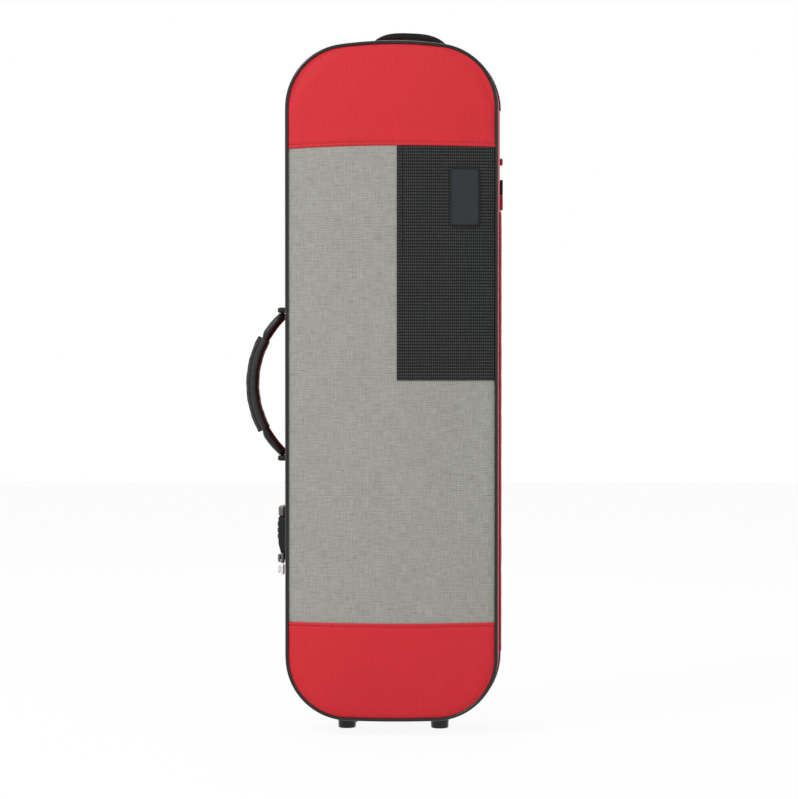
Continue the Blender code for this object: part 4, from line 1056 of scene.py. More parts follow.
def makeLabel(finish):
    # A bare moulded plate: a raised rim round a sunken field, both following the crowned front.
    low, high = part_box("label_plate")
    middle = ((low.x + high.x) / 2 - middleX, (low.z + high.z) / 2 - bottomZ)
    halfA, halfB = (high.x - low.x) / 2, (high.z - low.z) / 2

    def plate(name, profile, material):
        rows = []
        for inset, rise in profile:
            ring = roundRectangle(max(halfA - inset, 0), halfB - inset, label["corner"] - inset)
            x, h = middle[0] + ring[:, 0], middle[1] + ring[:, 1]
            base = crownDepth(x, h) - pocketRelief(middle[0] + 0 * x, middle[1] + 0 * h)
            rows.append(place(x, base - rise, h))
        made = gridMesh(name, np.array(rows), wrapColumns=True, material=material)
        return softened(weld(made), 30)

    rim, top, field = label["rim"], label["rimRise"], label["fieldRise"]
    under = (0.0003, -label["sunk"])
    edge = [under, (0.0, 0.0), (0.0, top - 0.0007), (0.0003, top - 0.0002), (0.0007, top),
            (rim - 0.0005, top), (rim - 0.0001, top - 0.0002), (rim + 0.0004, field - 0.0001),
            (rim + 0.0005, 0.0), (0.004, -label["sunk"]), under]
    ring = plate("labelRim", edge, finish["labelRim"])
    inner = [(halfA, -0.0004), (rim + 0.0003, -0.0004), (rim + 0.0003, field)]
    inner += [(inset, field) for inset in np.linspace(rim + 0.001, halfA, 9)]
    panel = plate("labelField", inner, finish["label"])
    finished(ring, "lid", "black_plastic", "label_plate")
    finished(panel, "lid", "black_plastic")
    print("label plate made")


handle = {
    "topOff": 0.0408, "radius": 0.1098, "pinSpan": 0.0800, "pinEnd": 0.0895, "pinRadius": 0.0024,
    "thick": 0.0057, "wide": 0.0090, "gripThick": 0.0042, "gripSink": 0.0015, "tipShare": 0.90,
    "neck": 0.36,
    "wrapHalf": 0.053, "wrapThick": 0.0054, "wrapWide": 0.0115, "boxy": 0.85,
    "finFrom": 0.0037, "finTo": 0.0088, "finThick": 0.0034,
    "stitchAt": 0.0066, "stitch": (0.0030, 0.0022, 0.0008),
    "lugLong": 0.0066, "lugCorner": 0.0031, "lugEdge": 0.0018, "lugCrown": 0.0006,
    "screw": ((0, -0.0002), (0.0005, -0.0002), (0.0006, 0.0003), (0.0017, 0.0004), (0.0021, 0.0),
              (0.0022, -0.0010), (0, -0.0010)),
}


def makeHandle(finish):
    # The bow runs on one arc between its pins: off = top - radius (1 - cos a), along = radius sin a.
    low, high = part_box("handle_grip")
    depth, middle = (low.y + high.y) / 2 - partingY, (low.z + high.z) / 2 - bottomZ
    limit = math.asin(handle["pinSpan"] / handle["radius"])

    def arc(angle):
        off = handle["topOff"] - handle["radius"] * (1 - np.cos(angle))
        return off, handle["radius"] * np.sin(angle)

    angles = np.linspace(-limit, limit, 97)
    off, along = arc(angles)
    under = np.clip((0.060 - np.abs(along)) / 0.010, 0, 1)
    under = under**2 * (3 - 2 * under)
    tip = np.clip((handle["pinSpan"] - np.abs(along)) / 0.024, 0, 1)
    scale = handle["tipShare"] + (1 - handle["tipShare"]) * np.sin(tip * math.pi / 2)
    thick = (handle["thick"] + (handle["gripThick"] - handle["thick"]) * under) * scale
    near = 1 - np.clip((handle["pinSpan"] - np.abs(along)) / 0.007, 0, 1)
    wide = handle["wide"] * scale * (1 - 0.10 * under) * (1 - handle["neck"] * near**2)
    off = off - handle["gripSink"] * under
    pins = [(0.0012, 0.72), (0.0022, 0.45), (0.0032, 0.0), (handle["pinEnd"] - handle["pinSpan"], 0.0)]
    for reach, share in pins:
        t = handle["pinRadius"] + (thick[0] - handle["pinRadius"]) * share
        w = handle["pinRadius"] + (wide[0] - handle["pinRadius"]) * share
        off = np.concatenate([[off[0]], off, [off[-1]]])
        along = np.concatenate([[-handle["pinSpan"] - reach], along, [handle["pinSpan"] + reach]])
        angles = np.concatenate([[angles[0] * 0.5], angles, [angles[-1] * 0.5]])
        thick, wide = np.concatenate([[t], thick, [t]]), np.concatenate([[w], wide, [w]])
    turn = np.arange(28) * 2 * math.pi / 28
    squash = lambda c: np.sign(c) * np.abs(c) ** handle["boxy"]
    section = np.stack([wide[:, None] * squash(np.cos(turn)), thick[:, None] * squash(np.sin(turn))], -1)
    path = place(-half - off, depth, middle + along)
    out = np.stack([-np.cos(angles), 0 * angles, np.sin(angles)], -1)
    bow = sweep("handleBow", path, (0.0, 1.0, 0.0), out, section, finish["bow"])
    finished(bow, "handle", "handle_rubber", "handle_bow")

    # The wrap's section is an oval whose outer side rises into a thin sewn fin.
    reach = math.asin(handle["wrapHalf"] / handle["radius"])
    angles = np.linspace(-reach, reach, 71)
    off, along = arc(angles)
    lean = math.asin(handle["finThick"] / 2 / handle["wrapWide"]) * 1.6
    turn = np.linspace(math.pi / 2 + lean, 2.5 * math.pi - lean, 34)
    oval = np.stack([handle["wrapWide"] * squash(np.cos(turn)),
                     handle["wrapThick"] * squash(np.sin(turn)) - handle["gripSink"]], -1)
    f, root, top = handle["finThick"] / 2, handle["finFrom"], handle["finTo"]
    fin = np.array([(f * 1.12, root + 0.0006), (f, root + 0.0016), (f * 1.05, top - 0.0014),
                    (f * 0.8, top - 0.0004), (0.00004, top - 0.0006)])
    fin = np.concatenate([fin, fin[::-1] * (-1, 1)])
    section = np.concatenate([oval, fin])[None] + np.zeros((len(angles), 1, 1))
    turns = along * 2 * math.pi
    wave = 1 + 0.020 * np.sin(turns / 0.021) + 0.012 * np.sin(turns / 0.0090 + 1)
    section[..., 1] *= wave[:, None]
    stitchWave = 1 - 0.07 * np.cos(along * 2 * math.pi / handle["stitch"][0])
    section[:, len(oval):, 0] *= stitchWave[:, None]
    ends = np.clip((handle["wrapHalf"] - np.abs(along)) / 0.0012, 0, 1)
    section *= (0.93 + 0.07 * np.sqrt(ends))[:, None, None]
    path = place(-half - off, depth, middle + along)
    out = np.stack([-np.cos(angles), 0 * angles, np.sin(angles)], -1)
    wrap = sweep("handleWrap", path, (0.0, 1.0, 0.0), out, section, finish["leather"])
    finished(wrap, "handle", "leather", "handle_grip")
    spots = path + out * handle["stitchAt"]
    for name, sign in (("wrapStitchesFront", -1), ("wrapStitchesBack", 1)):
        line = spots + np.array([0, sign * (f + 0.0001), 0])
        sewn(name, [line], handle["stitch"], (0.0, float(sign), 0.0), finish["greyThread"], "handle",
             "leather", 0.002)
    makeLugs(finish)
    print("handle made")


def makeLugs(finish):
    # A crowned block at each pin, with a domed screw head on it.
    for end in ("lower", "upper"):
        low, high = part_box("handle_lug_" + end)
        if end == "lower":
            low.z = high.z - handle["lugLong"]
        else:
            high.z = low.z + handle["lugLong"]
        lug = block("lug" + end.title(), low, high, handle["lugCorner"], handle["lugEdge"],
                    finish["plastic"], 0, (handle["lugCrown"], 0.0))
        finished(lug, "base", "black_plastic", "handle_lug_" + end)
        spot = (low.x - 0.0004, *centreOf(low, high)[1:])
        screw = lathe("lugScrew" + end.title(), spot, (-1, 0, 0), handle["screw"], finish["gunmetal"])
        finished(screw, "base", "gunmetal")


foot = {
    "profile": ((0.0, 0.10), (0.0034, 0.10), (0.0038, 0.02), (0.0044, 0.0), (0.0082, 0.0),
                (0.0094, 0.010), (0.0100, 0.045), (0.0103, 0.12), (0.0104, 0.45), (0.0107, 0.70),
                (0.0112, 0.86), (0.0120, 0.93), (0.0123, 0.97), (0.0123, 1.0), (0.0, 1.0)),
    "gap": 0.0003,
}


def makeFeet(finish):
    # A turned foot whose shares of height run from the floor up to the case's curved lower end.
    turn = np.arange(48) * 2 * math.pi / 48
    for number in range(1, 5):
        low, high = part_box(f"foot_{number}")
        centreX, centreY = centreOf(low, high)[:2]
        radius, share = np.array(foot["profile"]).T
        x = centreX + radius[:, None] * np.cos(turn)
        y = centreY + radius[:, None] * np.sin(turn)
        top = bottomZ + endHeight(-foot["gap"], x - middleX, -1)
        z = low.z + share[:, None] * (top - low.z)
        points = np.stack([x, y, z], -1)
        made = gridMesh(f"foot{number}", points, wrapColumns=True, material=finish["rubber"])
        finished(softened(weld(made), 50), "base", "foot_rubber", f"foot_{number}")
    print("feet made")


topStrap = {
    "thick": 0.0030, "padded": 0.0036, "rise": 0.0128, "anchor": 0.018, "gap": 0.0003, "edge": 0.0014,
    "stitch": (0.0030, 0.0022, 0.0006), "stitchIn": 0.0022, "plateHalf": 0.0011, "plateEdge": 0.0009,
    "rivetOff": 0.0075,
    "rivet": ((0, 0.0013), (0.0009, 0.00115), (0.0019, 0.0007), (0.0024, 0.0), (0.0024, -0.0006),
              (0, -0.0006)),
}


def makeTopStrap(finish):
    # The strap rises as (1 - |t|^3.4)^0.75 between its anchors, and is padded on its under side there.
    low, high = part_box("top_handle_strap")
    middle, reach = (low.x + high.x) / 2 - middleX, (high.x - low.x) / 2
    depth, wide = (low.y + high.y) / 2 - partingY, (high.y - low.y) / 2
    xs = np.linspace(middle - reach + 0.0008, middle + reach - 0.0008, 90)
    t = np.clip(np.abs(xs - middle) / (reach - topStrap["anchor"]), 0, 1)
    share = (1 - t**3.4) ** 0.75
    rise = topStrap["gap"] + topStrap["thick"] / 2 + topStrap["rise"] * share
    path = place(xs, depth, endHeight(-rise, xs, 1))
    out = np.cross(unit(np.gradient(path, axis=0)), (0.0, 1.0, 0.0))
    out = out * np.sign(out[:, 2:])
    section = roundRectangle(wide, topStrap["thick"] / 2, topStrap["edge"], 4)[None]
    section = section + np.zeros((len(xs), 1, 1))
    section[..., 1] -= np.where(section[..., 1] < 0, topStrap["padded"] * share[:, None], 0)
    strap = sweep("topStrap", path, (0.0, 1.0, 0.0), out, section, finish["webbing"])
    finished(strap, "base", "webbing", "top_handle_strap")
    lines = []
    for sign in (-1, 1):
        aside = np.array([0, sign * (wide - topStrap["stitchIn"]), 0])
        lines.append(path[6:-6] + aside + out[6:-6] * (topStrap["thick"] / 2 + 0.0001))
    sewn("topStrapStitches", lines, topStrap["stitch"], (0.0, 0.0, 1.0), finish["blackThread"], "base",
         "webbing")
    for side in ("left", "right"):
        makeAnchor(side, depth, finish)
    print("top strap made")


def makeAnchor(side, depth, finish):
    # A plate that follows the case's end, thinner towards its tips, with two rivets.
    low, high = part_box("top_anchor_" + side)
    thick = topStrap["plateHalf"]
    xs = np.linspace(low.x, high.x, 15) - middleX
    rise = topStrap["thick"] + 2 * topStrap["gap"] + thick
    path = place(xs, depth, endHeight(-rise, xs, 1))
    out = np.cross(np.gradient(path, axis=0), (0.0, 1.0, 0.0))
    out = unit(out) * np.sign(out[:, 2:])
    ease = np.sqrt(np.clip(1 - (np.linspace(-1, 1, 15)) ** 8, 0, 1))[:, None, None]
    section = roundRectangle((high.y - low.y) / 2, thick, topStrap["plateEdge"], 4)[None]
    section = section * (0.35 + 0.65 * ease) ** np.array([0.35, 1.0])
    plate = sweep("topAnchor" + side.title(), path, (0.0, 1.0, 0.0), out, section, finish["plastic"])
    finished(plate, "base", "black_plastic", "top_anchor_" + side)
    for row, sign in (("Front", -1), ("Rear", 1)):
        spot = path[7] + out[7] * thick + np.array([0, sign * topStrap["rivetOff"], 0])
        rivet = lathe(f"topRivet{side.title()}{row}", spot, out[7], topStrap["rivet"], finish["gunmetal"])
        finished(rivet, "base", "gunmetal")


band = {
    "wide": 0.0095, "thick": 0.0013, "roll": 0.0006, "ridge": 0.0004, "uneven": 0.00022,
    "hingeHalf": 0.0012,
    "stitchIn": 0.0022, "stitchSink": 0.00030, "stitch": (0.0034, 0.0024, 0.0007),
}


def makeHingeBand(finish):
    # One textile band across the parting line; it rolls off at its edges and bows slightly over the gap.
    low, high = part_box("hinge_band_base")
    lowH, highH = low.z - bottomZ, high.z - bottomZ
    outer = high.x - middleX - half
    hs = np.linspace(lowH, highH, 190)
    wide = band["wide"]
    depths = np.concatenate([[-wide], np.linspace(-wide + 0.0005, wide - 0.0005, 35), [wide]])
    d, h = np.meshgrid(depths, hs)
    fromEdge = wide - np.abs(d)
    fromEnd = np.minimum(h - lowH, highH - h)
    off = outer - band["roll"] * (np.exp(-fromEdge / 0.0006) + np.exp(-np.maximum(fromEnd, 0) / 0.0008))
    sunk = band["stitchSink"] * hump(fromEdge, band["stitchIn"], 0.0007)
    off = off + band["ridge"] * hump(d, 0.0, 0.0016) - sunk
    off = off + band["uneven"] * ripples(d * 0.4, h, 5, 0.03)
    x = half + off - draft(np.maximum(-d, 0))
    piece = gridMesh("hingeBand", place(x, d, h), patch=np.stack([d, h], -1), material=finish["redBand"])
    wall(piece, band["thick"])
    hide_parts("hinge_band_base", "hinge_band_lid")
    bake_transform(piece)
    for name, sign, body in (("bandStitchesBase", 1, "base"), ("bandStitchesLid", -1, "lid")):
        d = sign * (wide - band["stitchIn"])
        x = half + outer - draft(max(-d, 0)) - 0.0001
        sewn(name, [place(x, d, hs[2:-2])], band["stitch"], (1.0, 0.0, 0.0), finish["redThreadPaintedShade"], body,
             "red_textile")
    print("hinge band made")


zipper = {
    "wide": 0.0095, "out": 0.0010, "thick": 0.0009,
    "teethPitch": 0.0024, "toothLong": 0.0030, "toothThick": 0.0011, "toothOut": 0.0012,
    "toothAside": 0.0007,
    "stitchPitch": 0.0036, "stitchLong": 0.0025, "stitchThick": 0.0006, "stitchIn": 0.0016,
}


def awayFrom(spots, along):
    # Square to a line round the case, pointing away from the case's middle.
    out = np.cross(along, (0.0, 1.0, 0.0))
    away = spots - np.array([middleX, 0, bottomZ + length / 2])
    return out * np.sign((away * out).sum(1))[:, None]


def makeZip(finish):
    # Two woven tapes on the case's outline with interleaved coil teeth over the parting line.
    out = zipper["out"]
    x, h = outline(-zipper["toothOut"], False)
    line = place(x[0], 0.0, h[0])
    for body, sign, shift in (("base", 1, 0), ("lid", -1, 1)):
        near, far = sign * case["partingGap"], sign * zipper["wide"]
        inner = np.linspace(near + sign * 0.0020, far - sign * 0.0015, 5)
        depths = [near, near + sign * 0.0004, *inner, far - sign * 0.0004, far]
        drop = [0.0004, 0.0001, 0, 0, 0, 0, 0, 0.0001, 0.0006]
        profile = [(draft(max(-d, 0)) - out + e, d) for d, e in zip(depths, drop)]
        tape = outlineLoft(f"zipTape{body.title()}", profile, finish["zipTape"], hingeSide=False,
                           flip=sign > 0)
        finished(wall(tape, zipper["thick"]), body, "zip_tape", f"zip_tape_{body}")
        spots, along = evenly(line, zipper["teethPitch"] * 2)
        spots = spots + along * (shift * zipper["teethPitch"])
        aside = np.array([0, sign * zipper["toothAside"], 0])
        teeth = capsules(f"zipTeeth{body.title()}", spots + aside, (0.0, 1.0, 0.0), awayFrom(spots, along),
                         zipper["toothLong"], zipper["toothThick"], finish["coil"], 0.5)
        finished(teeth, body, "black_plastic")
        # Stitches that hold the tape to its cover.
        x, h = outline(-out - 0.0001, False)
        d = far - sign * zipper["stitchIn"]
        row = place(x[0] - np.sign(x[0]) * draft(max(-d, 0)), d, h[0])
        spots, along = evenly(row, zipper["stitchPitch"])
        stitches = capsules(f"zipStitches{body.title()}", spots, along, awayFrom(spots, along),
                            zipper["stitchLong"], zipper["stitchThick"], finish["blackThread"])
        finished(stitches, body, "zip_tape")
    print("zip made")


sideTab = {
    "corner": 0.0012, "edge": 0.0008, "gap": 0.0002, "endFrom": 0.017, "endTo": 0.025,
    "endThick": 0.0030, "endCorner": 0.0035, "endEdge": 0.0012, "endCrown": 0.0004,
}


def makeSideTab(finish):
    # A folded webbing end over a red patch, on the right side above the hinge band.
    low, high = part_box("side_tab")
    split = (low.z + high.z) / 2
    corner, edge, gap = sideTab["corner"], sideTab["edge"], sideTab["gap"]
    dark, red = finish["webbingPlain"], finish["redBandPlain"]
    black = block("sideTabWebbing", (low.x, low.y, split + gap), high, corner, edge, dark, 0)
    patch = block("sideTabPatch", low, (high.x, high.y, split - gap), corner, edge, red, 0)
    endLow = (low.x, low.y - 0.004, high.z + sideTab["endFrom"])
    endHigh = (low.x + sideTab["endThick"], high.y - 0.008, high.z + sideTab["endTo"])
    bump = block("hingeEndTab", endLow, endHigh, sideTab["endCorner"], sideTab["endEdge"], red, 0,
                 (0.0, sideTab["endCrown"]))
    finished(black, "base", "webbing", "side_tab")
    finished(patch, "base", "red_textile")
    finished(bump, "base", "red_textile")
    print("side tab made")


lockCap = {"corner": 0.0060, "edge": 0.0026, "crown": 0.0008, "gap": 0.0003}


def makeLock(finish):
    # The sliding cap stands on the lock's housing.
    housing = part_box("lock_housing")[1]
    low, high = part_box("lock_slide")
    low.z = housing.z + lockCap["gap"]
    cap = block("lockCap", low, high, lockCap["corner"], lockCap["edge"], finish["gunmetal"], 2,
                (0.0, lockCap["crown"]))
    finished(cap, "lock_slide_body", "gunmetal", "lock_slide")
    print("lock made")


inside = {
    "edge": 0.0080, "baseWall": 0.0050, "lidWall": 0.0040, "thickness": 0.0038, "valance": 0.0025,
    "quilt": 0.055, "quiltDeep": 0.0006, "quiltSlope": 0.75, "quiltWide": 0.0016,
}


def quilting(x, h, amount):
    # Two sets of slanting stitched lines: each sinks by a bell of the distance to the nearest line,
    # and swells beside it.
    total = 0
    for slope in (1, -1):
        t = (x + slope * h * inside["quiltSlope"]) / inside["quilt"]
        near = np.abs(t - np.round(t)) * inside["quilt"]
        swell = 0.5 * amount * hump(near, 0.008, 0.006)
        total = total - amount * hump(near, 0.0, inside["quiltWide"]) + swell
    return total


def makeLining(body, inset, floor, finish):
    # A wall carried round the case and rolled into a soft quilted floor.
    sign = 1 if body == "base" else -1
    lean = case["lidDraft"] if body == "lid" else 0.0
    edge, deep = inside["edge"], abs(floor)
    profile = [(inset + lean * d / deep, sign * d) for d in np.linspace(0.0006, deep - edge, 10)]
    for t in np.linspace(0, math.pi / 2, 9)[1:]:
        profile.append((inset + lean + edge * (1 - math.cos(t)), sign * (deep - edge + edge * math.sin(t))))
    walls = outlineLoft(f"{body}LiningWall", profile, finish["plush"], flip=sign < 0)
    finished(wall(walls, inside["thickness"]), body, "plush", f"{body}_lining")
    rim = inset + lean + edge - 0.0004
    xs = frontColumns(rim)
    x, h = frontGrid(lambda x: endHeight(rim, x, -1), lambda x: endHeight(rim, x, 1), xs, 230, 1.3)
    fade = np.clip((edgeDistance(x, h) - rim) / 0.012, 0, 1)
    relief = fade * quilting(x, h, inside["quiltDeep"])
    made = gridMesh(f"{body}LiningFloor", place(x, floor - sign * relief, h), flip=sign < 0,
                    patch=np.stack([x, h], -1), material=finish["plush"])
    finished(wall(made, inside["thickness"] * 0.8), body, "plush")


def makeLinings(finish):
    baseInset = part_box("base_lining")[0].x - coverLow.x + inside["baseWall"]
    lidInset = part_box("lid_lining")[0].x - coverLow.x + inside["lidWall"]
    makeLining("base", baseInset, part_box("lower_pad")[1].y - partingY, finish)
    makeLining("lid", lidInset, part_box("bow_tip_holder")[0].y - partingY, finish)
    # The valance is one band with a round rim that closes the gap between the halves.
    low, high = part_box("base_valance")
    inset, near, far = low.x - coverLow.x, low.y - partingY, high.y - partingY
    t = inside["valance"]
    turn = np.linspace(0, math.pi, 9)
    rim = [(inset + t / 2 - t / 2 * math.cos(a), near + t / 2 - t / 2 * math.sin(a)) for a in turn]
    made = outlineLoft("valance", [(inset, far)] + rim + [(inset + t, far)], finish["padPlush"], True)
    finished(weld(made), "base", "black_plastic", "base_valance")
    print("linings made")


pads = {
    "shrink": 0.0022, "corner": 0.010, "edge": 0.0060,
    "voxel": 0.0036, "pressure": 4.0, "cap": 0.0030, "frames": 20,
    "cordOut": 0.0011, "cordUp": 0.0052, "cordRadius": 0.0010,
}


def pointsOf(mesh):
    points = np.empty(len(mesh.vertices) * 3, np.float32)
    mesh.vertices.foreach_get("co", points)
    return points.reshape(-1, 3)


def puffed(made, cap, floorY):
    # Cloth blown up from within: an even remesh, a short simulation, and each point's travel capped; the
    # underside stays flat where it rests.
    mesh = made.data
    remesh = made.modifiers.new("even", "REMESH")
    remesh.mode, remesh.voxel_size = "VOXEL", pads["voxel"]
    bpy.context.view_layer.update()
    even = bpy.data.meshes.new_from_object(made.evaluated_get(bpy.context.evaluated_depsgraph_get()))
    made.modifiers.clear()
    made.data = even
    bpy.data.meshes.remove(mesh)
    even.materials.clear()
    before = pointsOf(even)
    blown = made.modifiers.new("blown", "CLOTH")
    blown.settings.use_pressure = True
    blown.settings.uniform_pressure_force = pads["pressure"]
    blown.settings.effector_weights.gravity = 0
    blown.point_cache.frame_end = pads["frames"]
    scene = bpy.context.scene
    for step in range(1, pads["frames"] + 1):
        scene.frame_set(step)
    after = pointsOf(made.evaluated_get(bpy.context.evaluated_depsgraph_get()).to_mesh())
    made.modifiers.clear()
    scene.frame_set(1)
    shift = after - before
    size = np.linalg.norm(shift, axis=1)[:, None]
    shift = shift * np.minimum(1, cap / np.maximum(size, 1e-9))
    after = before + shift
    after[:, 1] = np.minimum(after[:, 1], floorY)
    even.vertices.foreach_set("co", after.ravel())
    even.update()
    even.polygons.foreach_set("use_smooth", np.ones(len(even.polygons), bool))
    smooth = made.modifiers.new("fine", "SUBSURF")
    smooth.levels = smooth.render_levels = 1
    return made


def makePads(finish):
    # Each pad is a blown-up block with a round cord sewn into its rim.
    for end in ("lower", "upper"):
        low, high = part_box(end + "_pad")
        s, corner = pads["shrink"], pads["corner"]
        padLow, padHigh = (low.x + s, low.y + s, low.z + s), (high.x - s, high.y, high.z - s)
        made = block("pad" + end.title(), padLow, padHigh, corner, pads["edge"], None, 1)
        puffed(made, pads["cap"], high.y)
        made.data.materials.append(finish["padPlush"])
        finished(made, "base", "plush", end + "_pad")
        out, r = pads["cordOut"], pads["cordRadius"]
        seam = roundRectangle((high.x - low.x) / 2 - s + out, (high.z - low.z) / 2 - s + out, corner, 10)
        x, _, z = centreOf(low, high)
        path = np.stack([x + seam[:, 0], np.full(len(seam), high.y - pads["cordUp"]), z + seam[:, 1]], -1)
        rim = loopSweep("padCord" + end.title(), path, roundRectangle(r, r, r, 2), finish["cord"])
        finished(rim, "base", "cord")
    print("pads made")


cradle = {
    "groove": 0.0165, "deep": 0.024, "round": 0.0060, "shoulder": 0.0060, "lip": 0.0022, "ends": 0.003,
    "strapSag": 0.0004, "strapEdge": 0.0007,
}


def makeCradle(finish):
    # A padded block: its section steps over two rounded shoulders into a round-bottomed groove.
    low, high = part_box("neck_cradle")
    halfA = (high.x - low.x) / 2
    top, floor = low.y, high.y
    g, r, s, lip, soft = (cradle[key] for key in ("groove", "round", "shoulder", "lip", "ends"))
    bottom = top + cradle["deep"]
    turn = np.linspace(0, math.pi / 2, 7)
    right = [(halfA, floor), (halfA, (floor + top) / 2)]
    right += [(halfA - s * (1 - math.cos(t)), top + s * (1 - math.sin(t))) for t in turn]
    right += [(g + lip * (1 - math.sin(t)), top + lip * (1 - math.cos(t))) for t in turn]
    right += [(g, top + 0.010)]
    right += [(g - r * 1.6 * (1 - math.cos(t)), bottom - r * (1 - math.sin(t))) for t in turn]
    points = np.array(right + [(-a, d) for a, d in right[::-1]])
    middle = np.array([(low.x + high.x) / 2, (top + floor) / 2])
    turn = np.linspace(0, math.pi / 2, 6)
    zs = [low.z + soft * (1 - math.cos(t)) for t in turn]
    size = [soft * (1 - math.sin(t)) for t in turn]
    inner = np.linspace(low.z + 0.008, high.z - 0.008, 8)
    zs = np.array(zs + list(inner) + [low.z + high.z - z for z in zs[::-1]])
    size = np.array(size + [0] * len(inner) + size[::-1])
    section = np.array([points - np.sign(points - np.array([0, middle[1]])) * [e, e] for e in size])
    section[..., 0] += middle[0]
    section[..., 1] = np.minimum(section[..., 1], floor)
    path = np.stack([0 * zs, 0 * zs, zs], -1)
    made = sweep("neckCradle", path, (1.0, 0.0, 0.0), (0.0, 1.0, 0.0), section, finish["padPlush"])
    finished(made, "base", "plush", "neck_cradle")
    low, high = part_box("neck_strap")
    xs = np.linspace(low.x, high.x, 40)
    share = np.abs(xs - (low.x + high.x) / 2) / ((high.x - low.x) / 2)
    sag = cradle["strapSag"] * np.cos(share * math.pi / 2)
    path = np.stack([xs, (low.y + high.y) / 2 - sag, 0 * xs + (low.z + high.z) / 2], -1)
    strap = sweep("neckStrap", path, (0.0, 0.0, 1.0), (0.0, -1.0, 0.0),
                  roundRectangle((high.z - low.z) / 2, (high.y - low.y) / 2, cradle["strapEdge"], 3),
                  finish["webbing"])
    finished(strap, "base", "webbing", "neck_strap")
    patchLow = (high.x - 0.022, low.y - 0.0016, low.z + 0.0025)
    patchHigh = (high.x - 0.003, low.y - 0.0002, high.z - 0.0025)
    patch = block("neckStrapPatch", patchLow, patchHigh, 0.0020, 0.0006, finish["padPlush"], 1)
    finished(patch, "base", "plush")
    print("cradle made")


compartment = {
    "wall": 0.0040, "corner": 0.0030, "edge": 0.0012, "floorRound": 0.003, "innerCorner": 0.002,
    "dividerCorner": 0.0020, "dividerEdge": 0.0018,
    "lidCorner": 0.0035, "lidEdge": 0.0012, "lidCrown": 0.0012,
    "tabIn": (0.0150, 0.0080, 0.0030, -0.0010, -0.0022, -0.0010, 0.0020),
    "tabUp": (0.0010, 0.0010, 0.0011, 0.0013, 0.0017, 0.0021, 0.0023),
    "tabHalf": (0.007, 0.0005),
}


def tray(name, low, high, material):
    # An open box in one skin: up its outside, over a rounded rim, down its inside and across its floor.
    middleA, _, middleB = centreOf(low, high)
    halfA, halfB = (high.x - low.x) / 2, (high.z - low.z) / 2
    w, e, c = compartment["wall"], compartment["edge"], compartment["corner"]
    r = compartment["floorRound"]
    rows = [(halfA, high.y), (halfA * 0.5, high.y), (e, high.y), (0.0, high.y - e)]
    rows += [(0.0, d) for d in np.linspace(high.y - 0.01, low.y + 0.004, 4)]
    for t in np.linspace(0, math.pi, 9):
        rows.append((w / 2 - w / 2 * math.cos(t), low.y + w / 2 - w / 2 * math.sin(t)))
    rows += [(w, d) for d in np.linspace(low.y + 0.006, high.y - w - r, 4)]
    for t in np.linspace(0, math.pi / 2, 5):
        rows.append((w + r * (1 - math.cos(t)), high.y - w - r + r * math.sin(t)))
    rows += [(w + (halfA - w) * s, high.y - w) for s in (0.3, 0.6, 1.0)]
    points = []
    for inset, y in rows:
        corner = c - inset if inset < c else compartment["innerCorner"]
        ring = roundRectangle(max(halfA - inset, 0), halfB - inset, corner)
        points.append(np.stack([middleA + ring[:, 0], np.full(len(ring), y), middleB + ring[:, 1]], -1))
    return softened(weld(gridMesh(name, np.array(points), wrapColumns=True, material=material)), 60)


def makeCompartments(finish):
    for name, node in (("accessoryBox", "accessory_box"), ("shoulderRestTray", "shoulder_rest_tray")):
        low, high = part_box(node)
        finished(tray(name, low, high, finish["plush"]), "base", "plush", node)
    low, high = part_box("end_divider")
    divider = block("endDivider", low, high, compartment["dividerCorner"], compartment["dividerEdge"],
                    finish["plush"], 1)
    finished(divider, "base", "plush", "end_divider")
    low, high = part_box("accessory_lid")
    cushion = block("accessoryLid", low, high, compartment["lidCorner"], compartment["lidEdge"],
                    finish["padPlush"], 1, (compartment["lidCrown"], 0.0))
    finished(cushion, "accessory_lid_body", "plush", "accessory_lid")
    # Its pull tab is a strip that folds over the free edge.
    xs = high.x - np.array(compartment["tabIn"])
    ys = low.y - np.array(compartment["tabUp"])
    path = np.stack([xs, ys, 0 * xs + (low.z + high.z) / 2], -1)
    out = np.cross(unit(np.gradient(path, axis=0)), (0.0, 0.0, 1.0))
    strip = roundRectangle(*compartment["tabHalf"], 0.0004, 2)
    tab = sweep("accessoryLidTab", path, (0.0, 0.0, 1.0), out, strip, finish["webbing"])
    finished(tab, "accessory_lid_body", "webbing")
    print("compartments made")


strapRing = {
    "upperCorner": 0.0030, "lowerCorner": 0.0097, "wireSides": 14, "stitch": (0.0027, 0.0021, 0.0008),
    "stitchSide": 0.003, "stitchFrom": 0.002, "stitchTo": 0.011, "stitchUp": 0.0025,
}


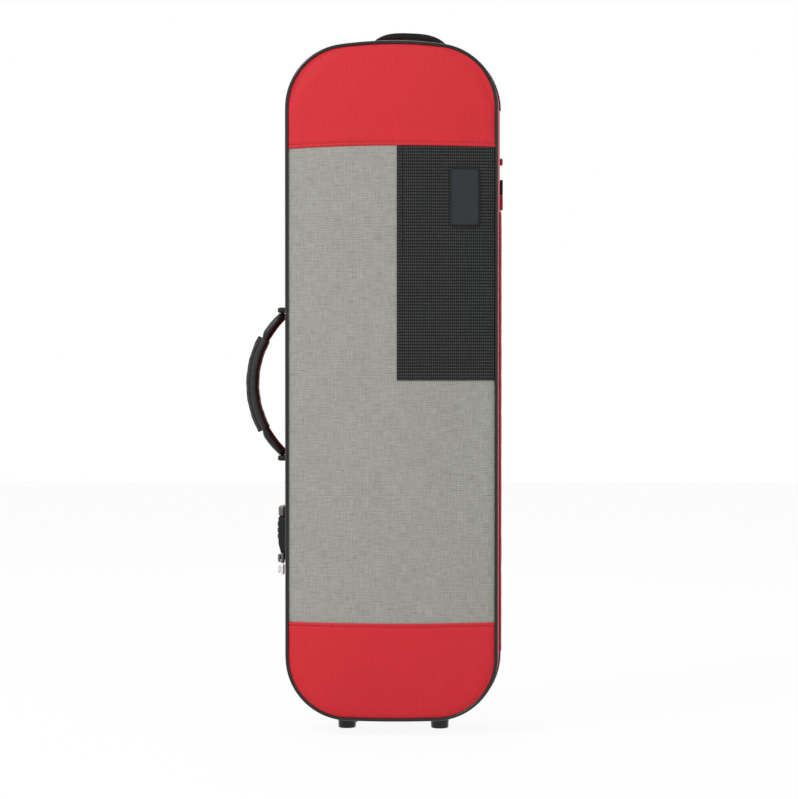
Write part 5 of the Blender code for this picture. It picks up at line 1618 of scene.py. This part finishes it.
def makeRings(finish):
    # Each ring is a round wire on a rectangle with small upper and large lower corners; its tab is
    # sewn down by a crossed box of stitches.
    small, large = strapRing["upperCorner"], strapRing["lowerCorner"]
    around = np.arange(strapRing["wireSides"]) * 2 * math.pi / strapRing["wireSides"]
    for number in range(1, 5):
        low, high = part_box(f"strap_ring_{number}")
        wire = (high.y - low.y) / 2
        halfA, halfB = (high.x - low.x) / 2 - wire, (high.z - low.z) / 2 - wire
        ring = []
        quarters = ((1, 1, small), (-1, 1, small), (-1, -1, large), (1, -1, large))
        for quarter, (a, b, corner) in enumerate(quarters):
            turn = np.linspace(0, math.pi / 2, 9) + quarter * math.pi / 2
            across = a * (halfA - corner) + corner * np.cos(turn)
            ring.append(np.stack([across, 0 * turn, b * (halfB - corner) + corner * np.sin(turn)], -1))
        path = np.array(centreOf(low, high)) + np.concatenate(ring)
        circle = wire * np.stack([np.cos(around), np.sin(around)], -1)
        made = loopSweep(f"strapRing{number}", path, circle, finish["steel"])
        finished(made, f"strap_ring_{number}_body", "steel", f"strap_ring_{number}")
        low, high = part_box(f"ring_tab_{number}")
        xs = (low.x + strapRing["stitchSide"], high.x - strapRing["stitchSide"])
        zs = (low.z + strapRing["stitchFrom"], low.z + strapRing["stitchTo"])
        y = baseDepth + partingY + strapRing["stitchUp"]
        corners = ((0, 0), (1, 0), (1, 1), (0, 1), (0, 0), (1, 1), (0, 1), (1, 0))
        line = np.array([(xs[a], y, zs[b]) for a, b in corners])
        sewn(f"ringStitches{number}", [line], strapRing["stitch"], (0.0, 1.0, 0.0), finish["redThreadPaintedShade"],
             "base", "webbing")
    print("rings made")


eased = {"lock_housing": 0.0004, "dial": 0.00025, "zip_slider": 0.0005, "zip_pull": 0.0005}


def polishNodes():
    # Hard CAD parts that stay get their doubled points joined and their edges eased.
    for name, node in nodes.items():
        width = next((value for word, value in eased.items() if name.startswith(word)), None)
        if width is None:
            continue
        join = node.modifiers.new("join", "WELD")
        join.merge_threshold = 0.00002
        ease = node.modifiers.new("ease", "BEVEL")
        ease.width = width
        ease.segments = 2
        ease.limit_method = "ANGLE"
        ease.angle_limit = math.radians(40)


# Which finish each CAD node has, by how its name starts; a longer name wins over a shorter one.
looks = {
    "": "plastic", "base_shell": "shell", "lid_shell": "shell", "base_lining": "plush",
    "lid_lining": "plush", "lock_axle": "steel", "lock_slide": "gunmetal", "dial": "dial",
    "foot": "rubber", "handle_bow": "bow",
    "handle_grip": "leather", "top_handle_strap": "webbing", "label_plate": "label", "mesh_pocket": "mesh",
    "side_tab": "webbing", "ring_tab": "webbingPlain", "strap_ring": "steel", "neck_strap": "webbingPlain",
    "accessory_box": "plush", "accessory_lid": "padPlush", "shoulder_rest_tray": "plush",
    "end_divider": "plush", "lower_pad": "padPlush", "upper_pad": "padPlush", "neck_cradle": "padPlush",
    "bow_tip_holder": "plush", "zip_slider_lower": "chrome", "zip_pull_lower": "chrome",
    "zip_slider_upper": "gunmetal", "zip_pull_upper": "gunmetal", "hinge_band": "redBand",
    "zip_tape": "zipTape",
}


def paint(finish):
    for name, node in nodes.items():
        word = max((word for word in looks if name.startswith(word)), key=len)
        node.data.materials.clear()
        node.data.materials.append(finish[looks[word]])


def main():
    scene = bpy.context.scene
    scene.view_settings.view_transform = "Standard"
    makeCamera()
    makeLights()
    makeStage()
    finish = makeFinishes()
    paint(finish)
    makeFront(finish)
    makeCovers(finish)
    makePocket(finish)
    makeLabel(finish)
    makeHandle(finish)
    makeFeet(finish)
    makeTopStrap(finish)
    makeHingeBand(finish)
    makeZip(finish)
    makeSideTab(finish)
    makeLock(finish)
    makeLinings(finish)
    makePads(finish)
    makeCradle(finish)
    makeCompartments(finish)
    makeRings(finish)
    polishNodes()


main()
